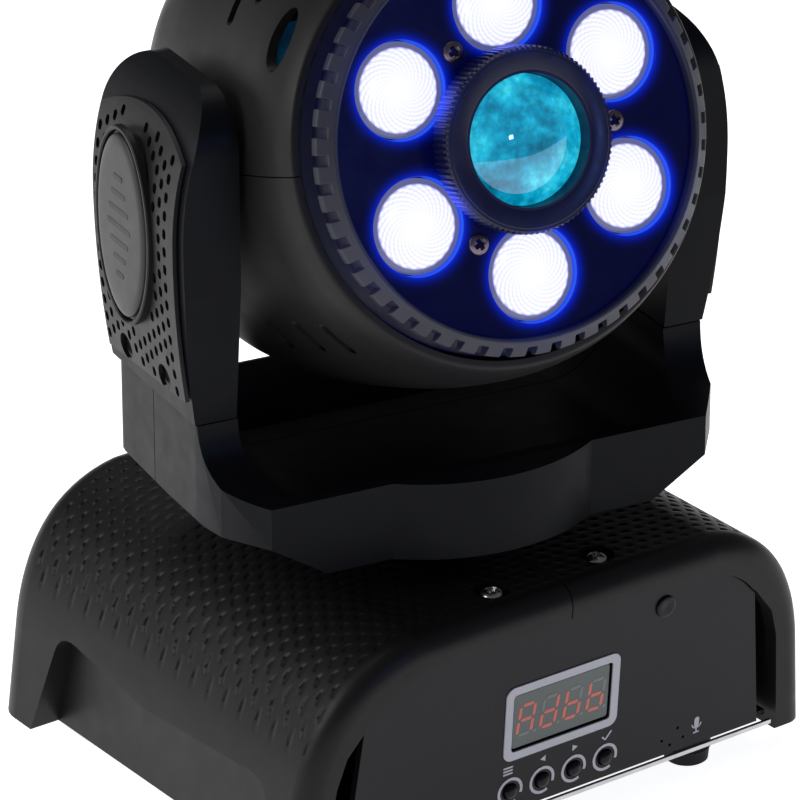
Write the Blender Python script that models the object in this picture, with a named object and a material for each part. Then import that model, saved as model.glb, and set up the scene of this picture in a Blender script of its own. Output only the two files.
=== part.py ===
"""Compact moving head light: a base with controls, a yoke that pans on it, and a head that tilts in it.

Lengths in this file are millimetres, and shape() scales them to metres.
The origin is the centre of the base plate's flat underside. The front faces -Y and up is +Z.
The yoke is modelled about the pan axis and the head about the tilt axis, each under its own empty.
"""

import math

import bmesh
import bpy
from mathutils import Matrix, Vector

MM = 0.001

# Pose and axes
PAN_REST = -9.5  # degrees about +Z
TILT_REST = 17.2  # degrees, nose up from level
TILT_AXIS_Y = -7.5
TILT_AXIS_Z = 161.3

# Base cover
LEG_DROP = 3.5  # legs and side skirts reach this far below the base plate
LEG_HALF_X = 82.3  # outer half width at the leg bottoms
SHOULDER_START = (78.7, 23.5)
SHOULDER_PULL = (73.5, 56.5)
SHOULDER_END = (46.0, 60.5)
COVER_TOP = 61.0
HALF_DEPTH = 66.0  # half depth at the plate level
DEPTH_DRAFT = 0.1  # the front leans out by this much for each millimetre of height
RIM_ROUND = 6.0
REAR_ROUND = 9.5
RIM_LIP = 5.0  # the front and rear rims are this deep
COVER_WALL = 2.5
INNER_SHOULDER_Z = 38.0
SKIRT_X = 73.7
CREASE_Z = 24.5
SPLIT_GAP = 0.3  # gap between neighbouring pieces

# Panels
PANEL_Y = 67.7  # panel face at the display's height
PANEL_TILT = 4.0  # degrees, top leaning out
REAR_PANEL_Y = 65.0  # the rear panel stands upright
PANEL_THICK = 2.0
PANEL_BOTTOM = 1.2
PANEL_TOP = 52.0
PANEL_HALF_BOTTOM = 65.3
DISPLAY_Z = 26.7
DISPLAY_W, DISPLAY_H = 30.7, 15.9
BUTTON_PITCH = 10.0
BUTTON_Z = 7.2
BUTTON_R = 1.9
PLUG_X, PLUG_Z, PLUG_R = 31.4, 45.8, 3.0
SOCKET_Z = 27.0
DMX_R = 12.0
PAN_MOTOR_X = -40.5
FUSE_X, FUSE_Z = -56.0, 8.2

# Yoke
ARM_INNER = 59.3
ARM_OUTER = 74.3
ARM_BULGE_Z = 152.5
ARM_FRONT, ARM_REAR = -33.5, 18.5
ARM_TOP = 188.5
ARM_CORNER = 15.0
ARM_SEAM_Z = 105.0
YOKE_SEAM_Y = -3.0
YOKE_HALF = 70.0
YOKE_REAR = 22.5
LIP_Z = 89.3
LIP_Y = -50.5
LIP_HALF = 60.0
BULGE_R = 47.4
BULGE_Y = -11.8
YOKE_BOTTOM = 69.0
TROUGH_FLOOR = 83.4
TROUGH_CORNER = 18.0
PLATE_THICK = 1.1
PLATE_SCREWS = ((3.9, 113.5), (-18.7, 114.2))
PLATE_SCREW_R = 3.4
BADGE_Y, BADGE_Z = -3.4, 148.8
BADGE_W, BADGE_H = 27.0, 47.0

# Head, measured from the tilt axis
LED_PLANE = -55.5
RIM_PLANE = -49.0
RIM_R = 55.0
HEAD_WALL = 2.4
RING_INNER = 47.2
RING_BAND_R = 49.3
RING_R = 51.7
RING_FRONT = -57.7
RING_TEETH = 48
LED_CIRCLE = 32.3
LENS_R = 11.4
LENS_HOLE_R = 11.9
FOCUS_R = 22.3
FOCUS_FRONT = -63.2
GLASS_R = 15.6
TUBE_R = 17.9
HEAD_BACK = 50.0
PIN_R = 8.0
WHEEL_R = 23.5
WHEEL_CIRCLE = 18.0
WHEEL_HOLES = 8
WHEEL_HOLE_R = 4.4
GEAR_X = (47.5, 50.5)
PINION_AT = (0, -20.0, -11.0)
PINION_R = 6.4
SLOT_HALF = 1.5
VENT_R = 28.0
VENT_ROWS = 4
VENT_PITCH = 6.0
UPPER_SLOTS = ((-11.0, 34.0, 48.0), (-21.0, 38.5, 50.0), (-31.0, 42.0, 52.0))  # (y, low, high)
LOWER_SLOTS = (-3.0, -18.5, -31.5)


def wipe_scene():
    for item in list(bpy.data.objects):
        bpy.data.objects.remove(item, do_unlink=True)


def collection(name):
    made = bpy.data.collections.new(name)
    bpy.context.scene.collection.children.link(made)
    return made


def material(name, colour, roughness, metallic=0.0):
    made = bpy.data.materials.new(name)
    made.use_nodes = True
    shader = made.node_tree.nodes["Principled BSDF"]
    shader.inputs["Base Color"].default_value = (*colour, 1.0)
    shader.inputs["Roughness"].default_value = roughness
    shader.inputs["Metallic"].default_value = metallic
    return made


def plastic(name):
    return material(name, (0.035, 0.034, 0.037), 0.5)


def empty(name, parent, location, rotation):
    pivot = bpy.data.objects.new(name, None)
    pivot.parent = parent
    pivot.location = Vector(location) * MM
    pivot.rotation_euler = [math.radians(angle) for angle in rotation]
    PARTS.objects.link(pivot)
    return pivot


def shape(name, bm, finish=None, parent=None, at=(0, 0, 0), group=None):
    """Turns a bmesh in millimetres into a named object in metres."""
    bmesh.ops.recalc_face_normals(bm, faces=bm.faces)
    bmesh.ops.scale(bm, vec=(MM, MM, MM), verts=bm.verts)
    mesh = bpy.data.meshes.new(name)
    bm.to_mesh(mesh)
    bm.free()
    made = bpy.data.objects.new(name, mesh)
    made.parent = parent
    made.location = Vector(at) * MM
    (group or PARTS).objects.link(made)
    if finish:
        mesh.materials.append(finish)
    return made


def tool(name, bm, parent=None, at=(0, 0, 0)):
    made = shape(name, bm, parent=parent, at=at, group=CUTTERS)
    made.hide_render = True
    made.display_type = "WIRE"
    return made


def combine(target, other, operation):
    step = target.modifiers.new(operation.title() + "_" + other.name, "BOOLEAN")
    step.operation = operation
    step.solver = "EXACT"
    step.object = other
    return target


def cut(target, *others):
    for other in others:
        combine(target, other, "DIFFERENCE")
    return target


def box(x, y, z):
    """A box from three (low, high) pairs."""
    bm = bmesh.new()
    bmesh.ops.create_cube(bm, size=1.0)
    size = [high - low for low, high in (x, y, z)]
    centre = [(high + low) / 2 for low, high in (x, y, z)]
    bmesh.ops.scale(bm, vec=size, verts=bm.verts)
    bmesh.ops.translate(bm, vec=centre, verts=bm.verts)
    return bm


TURNS = {
    "X": Matrix.Rotation(math.pi / 2, 3, "Y"),
    "Y": Matrix.Rotation(-math.pi / 2, 3, "X"),
    "Z": Matrix.Identity(3),
}


def rod(radius, low, high, axis="Z", at=(0, 0, 0), sides=32, far_radius=None):
    """A cylinder or cone along an axis, from low to high, its end radii radius and far_radius."""
    bm = bmesh.new()
    far = radius if far_radius is None else far_radius
    bmesh.ops.create_cone(
        bm, cap_ends=True, segments=sides, radius1=radius, radius2=far, depth=high - low
    )
    bmesh.ops.translate(bm, vec=(0, 0, (low + high) / 2), verts=bm.verts)
    bmesh.ops.rotate(bm, matrix=TURNS[axis], verts=bm.verts)
    bmesh.ops.translate(bm, vec=at, verts=bm.verts)
    return bm


def prism(outline, low, high, axis):
    """Extrudes an outline along X (points are y, z), Y (x, z) or Z (x, y)."""
    bm = bmesh.new()
    slot = "XYZ".index(axis)
    points = [list(pair) for pair in outline]
    for point in points:
        point.insert(slot, low)
    push = [0.0, 0.0, 0.0]
    push[slot] = high - low
    face = bm.faces.new([bm.verts.new(point) for point in points])
    grown = bmesh.ops.extrude_face_region(bm, geom=[face])
    moved = [item for item in grown["geom"] if isinstance(item, bmesh.types.BMVert)]
    bmesh.ops.translate(bm, vec=push, verts=moved)
    return bm


def loft(rings):
    """A closed solid through rings of equally many points."""
    bm = bmesh.new()
    rows = [[bm.verts.new(point) for point in ring] for ring in rings]
    count = len(rows[0])
    for near, far in zip(rows, rows[1:]):
        for i in range(count):
            j = (i + 1) % count
            bm.faces.new((near[i], near[j], far[j], far[i]))
    bm.faces.new(rows[0])
    bm.faces.new(rows[-1])
    bmesh.ops.triangulate(bm, faces=bm.faces)
    return bm


def turned(profile, axis="Y", sides=48, at=(0, 0, 0)):
    """A closed (radius, along) profile swept round an axis through at."""
    bm = bmesh.new()
    points = [bm.verts.new((radius, 0, along)) for radius, along in profile]
    edges = [bm.edges.new((a, b)) for a, b in zip(points, points[1:] + points[:1])]
    bmesh.ops.spin(
        bm, geom=points + edges, axis=(0, 0, 1), cent=(0, 0, 0),
        angle=2 * math.pi, steps=sides, use_merge=True,
    )
    bmesh.ops.remove_doubles(bm, verts=bm.verts, dist=0.0005)
    bmesh.ops.rotate(bm, matrix=TURNS[axis], verts=bm.verts)
    bmesh.ops.translate(bm, vec=at, verts=bm.verts)
    return bm


def arc(centre, radius, start, stop, steps):
    """Points on an arc, its angles in degrees."""
    turns = [math.radians(start + (stop - start) * i / steps) for i in range(steps + 1)]
    return [(centre[0] + radius * math.cos(t), centre[1] + radius * math.sin(t)) for t in turns]


def bend(start, pull, stop, steps):
    """Points on a curve that leaves start towards pull and reaches stop."""
    points = []
    for i in range(steps + 1):
        t = i / steps
        a, b, c = (1 - t) ** 2, 2 * t * (1 - t), t**2
        points.append(tuple(a * p + b * q + c * r for p, q, r in zip(start, pull, stop)))
    return points


def grown_outline(outline, distance):
    """Moves each point of a counter-clockwise outline outwards by distance."""
    moved = []
    for i, here in enumerate(outline):
        before, after = Vector(outline[i - 1]), Vector(outline[(i + 1) % len(outline)])
        first = (Vector(here) - before).normalized()
        second = (after - Vector(here)).normalized()
        normal = Vector((first.y + second.y, -first.x - second.x)).normalized()
        stretch = 1 / max(0.5, normal.dot(Vector((first.y, -first.x))))
        moved.append(tuple(Vector(here) + normal * distance * stretch))
    return moved


# ---- base -----------------------------------------------------------------


def arch(bottom, inset=0.0):
    """The cover's outline seen from the front, counter-clockwise from the right leg's bottom."""
    slope = (LEG_HALF_X - SHOULDER_START[0]) / (SHOULDER_START[1] + LEG_DROP)
    foot = LEG_HALF_X - slope * (bottom + LEG_DROP)
    right = [(foot, bottom)] + bend(SHOULDER_START, SHOULDER_PULL, SHOULDER_END, 7) + [(20.0, COVER_TOP)]
    outline = right + [(-x, z) for x, z in reversed(right)]
    return grown_outline(outline, -inset) if inset else outline


def rim_reach(z, side):
    """How far the rim lies from the centre at a height, in front (side -1) or behind."""
    return HALF_DEPTH + (DEPTH_DRAFT * z if side < 0 else 0.0)


def cover_body():
    """The cover's outer solid, with rounded front and rear edges."""
    rings = []
    steps = 3
    for end, rounding in ((-1, RIM_ROUND), (1, REAR_ROUND)):
        turns = range(steps + 1) if end < 0 else range(steps, -1, -1)
        for i in turns:
            angle = math.pi / 2 * i / steps
            inset = rounding * (1 - math.sin(angle))
            back = rounding * (1 - math.cos(angle))
            outline = [(x, max(z, -LEG_DROP)) for x, z in arch(-LEG_DROP, inset)]
            rings.append([(x, end * (rim_reach(z, end) - back), z) for x, z in outline])
    return loft(rings)


def panel_outline(gap=0.0):
    """The control panel's outline, narrower than the opening in the cover at its sides."""
    right = [(PANEL_HALF_BOTTOM, PANEL_BOTTOM), (61.0 - gap, 40.5)]
    right += bend((59.0 - gap, 42.5 - gap), (52.0, 51.6 - gap), (34.0, PANEL_TOP - gap), 4)
    return right + [(-x, z) for x, z in reversed(right)]


def opening_outline():
    right = [(72.2, -20.0), (72.2, 0.0), (69.0, 26.0), (66.5, 34.0), (60.5, 41.5)]
    right += bend((59.0, 42.8), (52.0, 52.0), (34.0, PANEL_TOP + 0.4), 4)
    return right + [(-x, z) for x, z in reversed(right)]


def lean(bm, side):
    """Leans a flat panel, modelled at y = 0, onto the front (side -1) or rear (side 1) face."""
    if side > 0:
        bmesh.ops.translate(bm, vec=(0, REAR_PANEL_Y, 0), verts=bm.verts)
        return bm
    bmesh.ops.translate(bm, vec=(0, 0, -DISPLAY_Z), verts=bm.verts)
    bmesh.ops.rotate(bm, matrix=Matrix.Rotation(math.radians(PANEL_TILT), 3, "X"), verts=bm.verts)
    bmesh.ops.translate(bm, vec=(0, -PANEL_Y, DISPLAY_Z), verts=bm.verts)
    return bm


def notch_outline():
    """The side cut-away between the legs, seen from the side (y, z)."""
    rear = [(49.2, -LEG_DROP - 2), (41.8, 19.0)]
    rear += bend((41.0, 21.5), (39.2, CREASE_Z + 2.5), (32.0, CREASE_Z + 1.5), 3)
    front = bend((-45.0, CREASE_Z), (-51.5, CREASE_Z), (-53.0, 19.0), 3)
    return rear + [(0.0, CREASE_Z - 2.5)] + front + [(-55.5, -LEG_DROP - 2)]


def make_cover_cutters():
    inner_x = SKIRT_X - COVER_WALL
    vault = [(x, z) for x, z in arch(-LEG_DROP - 8.0, COVER_WALL) if abs(x) < inner_x]
    outline = [(inner_x, -LEG_DROP - 8.0), (inner_x, INNER_SHOULDER_Z)] + vault
    outline += [(-inner_x, INNER_SHOULDER_Z), (-inner_x, -LEG_DROP - 8.0)]
    ends = [[(x, side * (rim_reach(z, side) - RIM_LIP), z) for x, z in outline] for side in (-1, 1)]
    tools = [tool("cavity_cut", loft(ends))]
    tools.append(tool("opening_cut", prism(opening_outline(), -90, 90, "Y")))
    for name, low, high in (("left", -95.0, -SKIRT_X), ("right", SKIRT_X, 95.0)):
        tools.append(tool(f"notch_cut_{name}", prism(notch_outline(), low, high, "X")))
    tools.append(tool("pan_hole_cut", rod(21.0, 40, 80, sides=40)))
    for x in (-16.3, 16.3):
        tools.append(tool("screw_recess", rod(4.6, COVER_TOP - 1.6, 80, at=(x, -60.0, 0), sides=20)))
        tools.append(tool("screw_bore", rod(1.7, 40, 80, at=(x, -60.0, 0), sides=12)))
    return tools


def make_covers():
    tools = make_cover_cutters()
    for side, low, high in (("left", -120, -SPLIT_GAP / 2), ("right", SPLIT_GAP / 2, 120)):
        cover = shape(f"cover_{side}", cover_body(), plastic(f"cover_{side}_plastic"))
        combine(cover, tool(f"half_{side}", box((low, high), (-120, 120), (-40, 120))), "INTERSECT")
        cut(cover, *tools)


def make_panels():
    panel = shape("control_panel", lean(prism(panel_outline(), 0, PANEL_THICK, "Y"), -1),
                  material("panel_plastic", (0.045, 0.042, 0.045), 0.45))
    cut(panel, tool("display_hole", lean(box((-DISPLAY_W / 2, DISPLAY_W / 2), (-3, 4),
                                             (DISPLAY_Z - DISPLAY_H / 2, DISPLAY_Z + DISPLAY_H / 2)), -1)))
    for i in range(4):
        x = (i - 1.5) * BUTTON_PITCH
        cut(panel, tool(f"button_hole_{i}", lean(rod(BUTTON_R + 0.4, -4, 4, "Y", (x, 0, BUTTON_Z), 14), -1)))
    cut(panel, tool("plug_hole", lean(rod(2.3, -4, 4, "Y", (PLUG_X, 0, PLUG_Z), 16), -1)))

    rear = shape("rear_panel", lean(prism(panel_outline(), -PANEL_THICK, 0, "Y"), 1),
                 material("rear_panel_paint", (0.03, 0.03, 0.032), 0.55))
    cut(rear, tool("inlet_hole", lean(box((-50.2, -21.8), (-6, 6), (SOCKET_Z - 10.2, SOCKET_Z + 10.2)), 1)))
    for x in (5.0, 38.0):
        cut(rear, tool("socket_hole", lean(rod(DMX_R + 0.4, -6, 6, "Y", (x, 0, SOCKET_Z), 20), 1)))
    cut(rear, tool("fuse_hole", lean(rod(5.3, -6, 6, "Y", (FUSE_X, 0, FUSE_Z), 20), 1)))


def make_front_controls():
    half_w, half_h = DISPLAY_W / 2 - SPLIT_GAP, DISPLAY_H / 2 - SPLIT_GAP
    shape("display_window",
          lean(box((-half_w, half_w), (0.3, 1.5), (DISPLAY_Z - half_h, DISPLAY_Z + half_h)), -1),
          material("display_acrylic", (0.09, 0.11, 0.1), 0.12))
    board = shape("control_board", lean(box((-34, 34), (7.6, 9.2), (2.5, 44)), -1),
                  material("circuit_board", (0.02, 0.09, 0.04), 0.4))
    module = tool("display_body", lean(box((-15, 15), (2.0, 8.2), (DISPLAY_Z - 7, DISPLAY_Z + 7)), -1))
    combine(board, module, "UNION")
    for i in range(4):
        x = (i - 1.5) * BUTTON_PITCH
        switch = tool(f"switch_{i}", lean(box((x - 3, x + 3), (5.4, 8.2), (BUTTON_Z - 3, BUTTON_Z + 3)), -1))
        combine(board, switch, "UNION")
        cap = [(0.0, -1.4), (1.2, -1.4), (BUTTON_R, -0.7), (BUTTON_R, 2.3),
               (2.9, 2.3), (2.9, 3.1), (0.0, 3.1)]
        shape(f"button_{i + 1}", lean(turned(cap, "Y", 14, (x, 0, BUTTON_Z)), -1),
              material(f"button_{i + 1}_rubber", (0.02, 0.02, 0.02), 0.45))
    plug = [(0.0, -0.8), (2.4, -0.8), (PLUG_R, -0.3), (2.0, -0.3), (2.0, 3.2), (0.0, 3.2)]
    shape("blanking_plug", lean(turned(plug, "Y", 20, (PLUG_X, 0, PLUG_Z)), -1),
          material("plug_plastic", (0.03, 0.03, 0.03), 0.5))


def make_sockets():
    """Power inlet, the two three-pin signal sockets and the fuse holder on the rear panel."""
    black = material("socket_plastic", (0.015, 0.015, 0.016), 0.4)
    inlet = shape("power_inlet", lean(box((-50, -22), (-16, 1.2), (SOCKET_Z - 10, SOCKET_Z + 10)), 1), black)
    hollow = [(-47.5, -6.5), (-24.5, -6.5), (-24.5, 3.0), (-28.5, 6.5), (-43.5, 6.5), (-47.5, 3.0)]
    hollow = [(x, z + SOCKET_Z) for x, z in hollow]
    cut(inlet, tool("inlet_hollow", lean(prism(hollow, -13, 4, "Y"), 1)))
    flange = tool("inlet_flange", lean(box((-53, -19), (0.3, 1.6), (SOCKET_Z - 12, SOCKET_Z + 12)), 1))
    combine(inlet, flange, "UNION")
    cut(inlet, tool("inlet_mouth", lean(prism(hollow, -13, 6, "Y"), 1)))
    for x in (-42.0, -36.0, -30.0):
        pin = tool("inlet_pin", lean(box((x - 1, x + 1), (-14, -3), (SOCKET_Z - 1.5, SOCKET_Z + 1.5)), 1))
        combine(inlet, pin, "UNION")
    for name, x in (("signal_in", 5.0), ("signal_out", 38.0)):
        body = [(0.0, -14.0), (DMX_R, -14.0), (DMX_R, 0.3), (13.0, 0.3), (13.0, 1.5), (9.0, 1.5),
                (9.0, -11.0), (0.0, -11.0)]
        shape(name, lean(turned(body, "Y", 20, (x, 0, SOCKET_Z)), 1),
              material(f"{name}_metal", (0.3, 0.3, 0.31), 0.35, 0.9))
    fuse = [(0.0, -14.0), (5.0, -14.0), (5.0, 0.3), (6.5, 0.3), (6.5, 4.0), (0.0, 4.0)]
    shape("fuse_holder", lean(turned(fuse, "Y", 20, (FUSE_X, 0, FUSE_Z)), 1),
          material("fuse_plastic", (0.02, 0.02, 0.02), 0.4))


def make_base_plate():
    shape("base_plate", box((-70.8, 70.8), (-62.5, 60.3), (0, 1.5)),
          material("plate_steel", (0.03, 0.03, 0.03), 0.5, 0.6))
    rubber = material("foot_rubber", (0.015, 0.015, 0.016), 0.75)
    for name, x, y in (("front_left", -52, -54), ("front_right", 52, -54),
                       ("rear_left", -52, 54), ("rear_right", 52, 54)):
        shape(f"foot_{name}", rod(5.6, -10.0, -0.3, at=(x, y, 0), sides=24, far_radius=6.6), rubber)
    steel = material("screw_steel", (0.55, 0.54, 0.52), 0.25, 1.0)
    for name, x in (("left", -16.3), ("right", 16.3)):
        head = [(0.0, -14.0), (1.4, -14.0), (1.4, -1.3), (2.9, -1.3), (2.6, -0.2), (1.4, 0.3), (0.0, 0.4)]
        shape(f"cover_screw_{name}", turned(head, "Z", 16, (x, -60.0, COVER_TOP)), steel)


def make_pan_drive():
    """Motor, belt and bearing under the cover, and the pulley that the yoke stands on."""
    silver = material("motor_metal", (0.35, 0.35, 0.36), 0.4, 0.9)
    motor = shape("pan_motor", box((PAN_MOTOR_X - 17.5, PAN_MOTOR_X + 17.5), (-17.5, 17.5), (8, 34)), silver)
    combine(motor, tool("pan_motor_shaft", rod(2.5, 33, 45, at=(PAN_MOTOR_X, 0, 0), sides=16)), "UNION")
    pulley = [(2.8, 35.0), (9.5, 35.0), (9.5, 36.0), (8.2, 36.0),
              (8.2, 42.0), (9.5, 42.0), (9.5, 43.0), (2.8, 43.0)]
    shape("pan_motor_pulley", turned(pulley, "Z", 16, (PAN_MOTOR_X, 0, 0)),
          material("pulley_brass", (0.5, 0.38, 0.15), 0.35, 0.9))
    support = [(13.3, 26.0), (20.0, 26.0), (20.0, 33.5), (13.3, 33.5)]
    bearing = shape("pan_bearing", turned(support, "Z", 24),
                    material("bearing_steel", (0.5, 0.5, 0.5), 0.3, 1.0))
    combine(bearing, tool("bearing_post", box((14.0, 19.5), (-6, 6), (2.0, 27.0))), "UNION")
    for name, grow in (("outer", 1.6), ("inner", 0.3)):
        small, large = 8.2 + grow, 16.0 + grow
        lean_angle = math.degrees(math.asin((large - small) / -PAN_MOTOR_X))
        loop = arc((PAN_MOTOR_X, 0), small, 90 + lean_angle, 270 - lean_angle, 10)
        loop += arc((0, 0), large, -90 - lean_angle, 90 + lean_angle, 20)
        if name == "outer":
            belt = shape("pan_belt", prism(loop, 36.4, 41.6, "Z"),
                         material("belt_rubber", (0.02, 0.02, 0.02), 0.7))
        else:
            cut(belt, tool("belt_hollow", prism(loop, 30, 50, "Z")))


def make_power_supply():
    shape("power_supply", box((26, 66), (-44, 40), (4, 34)),
          material("supply_metal", (0.5, 0.5, 0.5), 0.45, 0.8))


# ---- yoke -----------------------------------------------------------------


def arm_outer(z):
    """The arm's outer half width at a height."""
    if z <= ARM_BULGE_Z:
        return ARM_OUTER - 4.0 * ((ARM_BULGE_Z - z) / (ARM_BULGE_Z - ARM_SEAM_Z)) ** 2
    rise = (z - ARM_BULGE_Z) / (ARM_TOP + 2.5 - ARM_BULGE_Z)
    return ARM_INNER - 2 + (ARM_OUTER - ARM_INNER + 2) * math.sqrt(max(0.0, 1 - rise**2))


def arm_front_outline(low, high, outward=0.0, thick=None):
    """The arm seen from the front (x, z): a band as thick as thick, or out from the arm's inner face."""
    heights = [low + (high - low) * i / 12 for i in range(13)]
    outer = [(arm_outer(z) + outward, z) for z in heights]
    if thick is None:
        return outer + [(ARM_INNER, high), (ARM_INNER, low)]
    return outer + [(x - thick, z) for x, z in reversed(outer)]


def arm_side_outline(inset=0.0, bottom=ARM_SEAM_Z):
    """The arm seen from the side (y, z), with a rounded top."""
    radius = ARM_CORNER - inset
    top = [(ARM_REAR - ARM_CORNER, ARM_TOP - ARM_CORNER), (ARM_FRONT + ARM_CORNER, ARM_TOP - ARM_CORNER)]
    outline = [(ARM_FRONT + 3.5 + inset, bottom), (ARM_REAR - inset, bottom)]
    outline += arc(top[0], radius, 0, 90, 6) + arc(top[1], radius, 90, 180, 6)
    return outline + [(ARM_FRONT + inset, ARM_SEAM_Z + 35)]


def mirrored(bm, side):
    if side < 0:
        bmesh.ops.scale(bm, vec=(-1, 1, 1), verts=bm.verts)
        bmesh.ops.reverse_faces(bm, faces=bm.faces)
    return bm


def make_arm_cover(name, side, yoke):
    outline = arm_side_outline(bottom=ARM_SEAM_Z + SPLIT_GAP)
    arm = shape(f"arm_cover_{name}", mirrored(prism(outline, ARM_INNER, 85, "X"), side),
                plastic(f"arm_{name}_plastic"), yoke)
    profile = prism(arm_front_outline(90, ARM_TOP + 1.0), -60, 60, "Y")
    combine(arm, tool(f"arm_profile_{name}", mirrored(profile, side), yoke), "INTERSECT")
    wall = ARM_INNER + 2.0
    hollow = prism(arm_side_outline(2.4, 90), wall, 71.6, "X")
    inside = tool(f"hollow_{name}", mirrored(hollow, side), yoke)
    slope = [(arm_outer(z) - 2.2, z) for z in (180, 172, 160, 145, 125, 105, 90)]
    cap = prism([(wall, 90), (wall, 184)] + slope, -60, 60, "Y")
    combine(inside, tool(f"hollow_cap_{name}", mirrored(cap, side), yoke), "INTERSECT")
    hub = rod(PIN_R + 0.5, ARM_INNER - 5, ARM_INNER + 5, "X", (0, TILT_AXIS_Y, TILT_AXIS_Z), 20)
    cut(arm, inside, tool(f"pin_hole_{name}", mirrored(hub, side), yoke))


def make_side_plate(name, side, yoke):
    outline = [(-30.0, 112.0), (15.5, 109.5)] + arc((-7.0, 134.0), 46.0, 60.0, 121.0, 10)
    plate = shape(f"side_plate_{name}", mirrored(prism(outline, 60, 90, "X"), side),
                  plastic(f"side_plate_{name}_plastic"), yoke)
    band = prism(arm_front_outline(100, 186, SPLIT_GAP + PLATE_THICK, PLATE_THICK), -60, 60, "Y")
    combine(plate, tool(f"plate_band_{name}", mirrored(band, side), yoke), "INTERSECT")
    for y, z in PLATE_SCREWS:
        hole = rod(PLATE_SCREW_R, 60, 90, "X", (0, y, z), 20)
        cut(plate, tool("plate_screw_hole", mirrored(hole, side), yoke))


def make_arms(yoke):
    for name, side in (("left", -1), ("right", 1)):
        make_arm_cover(name, side, yoke)
        make_side_plate(name, side, yoke)
        face = arm_outer(BADGE_Z) + SPLIT_GAP + PLATE_THICK
        badge = rod(1.0, face + SPLIT_GAP, face + 1.9, "X", sides=36, far_radius=0.86)
        bmesh.ops.scale(badge, vec=(1, BADGE_W / 2, BADGE_H / 2), verts=badge.verts)
        bmesh.ops.translate(badge, vec=(0, BADGE_Y, BADGE_Z), verts=badge.verts)
        shape(f"badge_{name}", mirrored(badge, side),
              material(f"badge_{name}_face", (0.1, 0.1, 0.1), 0.3), yoke)


def yoke_plan(gap=0.0):
    """The lower yoke seen from above, counter-clockwise from the rear right."""
    half = LIP_HALF
    bulge = math.degrees(math.acos(27.5 / BULGE_R))
    front = arc((0, BULGE_Y), BULGE_R, -90 - (90 - bulge), -90 + (90 - bulge), 12)
    right = [(half, LIP_Y), (68.0, -39.0), (YOKE_HALF, -29.0), (YOKE_HALF - 1.5, YOKE_REAR - 6)]
    right += arc((YOKE_HALF - 7.5, YOKE_REAR - 6), 6.0, 20, 90, 3)
    left = [(-x, y) for x, y in reversed(right)]
    return grown_outline(left + front + right, -gap) if gap else left + front + right


def yoke_front_view():
    outer = YOKE_HALF + 2
    right = [(45.0, YOKE_BOTTOM), (60.0, 78.5), (69.4, 79.0), (outer, 84.0), (outer, ARM_SEAM_Z)]
    return right + [(-x, z) for x, z in reversed(right)]


def yoke_side_view():
    """The lower yoke from the side: a round heel, and the ramp from the arm's front face down to the lip."""
    ramp = bend((-30.0, ARM_SEAM_Z), (-30.8, LIP_Z + 1), (LIP_Y, LIP_Z), 6)
    heel = [(-62.0, YOKE_BOTTOM), (14.0, YOKE_BOTTOM)]
    heel += bend((17.0, 75.0), (YOKE_REAR, 82.0), (YOKE_REAR + 0.5, 96.0), 3)
    return heel + [(YOKE_REAR - 1.0, ARM_SEAM_Z)] + ramp + [(-62.0, LIP_Z)]


def trough_outline():
    """The hollow that the head swings in, from the front."""
    corner = (ARM_INNER - 0.3 - TROUGH_CORNER, TROUGH_FLOOR + TROUGH_CORNER)
    right = arc(corner, TROUGH_CORNER, -90, 0, 6) + [(ARM_INNER - 0.3, 140.0)]
    return right + [(-x, z) for x, z in reversed(right)]


def make_lower_yoke(yoke):
    side_view = tool("yoke_side_view", prism(yoke_side_view(), -90, 90, "X"), yoke)
    front_view = tool("yoke_front_view", prism(yoke_front_view(), -90, 90, "Y"), yoke)
    trough = tool("trough", prism(trough_outline(), -47.8, YOKE_REAR + 30, "Y"), yoke)
    rear_rise = [(2.0, 60.0), (2.0, TROUGH_FLOOR), (9.0, TROUGH_FLOOR + 2.6), (15.0, TROUGH_FLOOR + 6.3),
                 (YOKE_REAR - 1, TROUGH_FLOOR + 10.4), (60.0, TROUGH_FLOOR + 10.4), (60.0, 60.0)]
    keep = tool("rear_wall_keep", prism(rear_rise, -100, 100, "X"), yoke)
    cut(trough, keep)
    hollow = box((-44, 44), (-44, 14), (YOKE_BOTTOM + 2.4, TROUGH_FLOOR - 2.4))
    cavity = tool("yoke_cavity", hollow, yoke)
    pockets = [tool(f"arm_pocket_{i}", box(x, (-27, 15), (82.5, 120)), yoke)
               for i, x in enumerate(((-68, -61.3), (61.3, 68)))]
    shaft_hole = tool("shaft_hole", rod(12.6, 50, YOKE_BOTTOM + 3, sides=32), yoke)
    seam = SPLIT_GAP / 2
    for name, low, high in (("front", -120, YOKE_SEAM_Y - seam), ("rear", YOKE_SEAM_Y + seam, 120)):
        cover = shape(f"yoke_{name}_cover", prism(yoke_plan(), YOKE_BOTTOM - 5, ARM_SEAM_Z, "Z"),
                      plastic(f"yoke_{name}_plastic"), yoke)
        half = tool(f"yoke_half_{name}", box((-120, 120), (low, high), (0, 200)), yoke)
        for other in (half, side_view, front_view):
            combine(cover, other, "INTERSECT")
        cut(cover, trough, cavity, shaft_hole, *pockets)


def make_pan_pulley(yoke):
    """The hollow shaft and pulley that the yoke turns on, with the disc that closes the cover's hole."""
    seat = YOKE_BOTTOM - SPLIT_GAP
    profile = [(8.0, 20.0), (13.0, 20.0), (13.0, 35.2), (17.5, 35.2), (17.5, 36.2), (16.0, 36.2),
               (16.0, 41.8), (17.5, 41.8), (17.5, 42.8), (13.0, 42.8), (13.0, 59.0), (20.4, 59.0),
               (20.4, 61.2), (18.0, 61.8), (18.0, seat), (12.3, seat), (12.3, seat + 4.3), (8.0, seat + 4.3)]
    shape("pan_pulley", turned(profile, "Z", 24), material("shaft_plastic", (0.03, 0.03, 0.03), 0.45), yoke)


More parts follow.
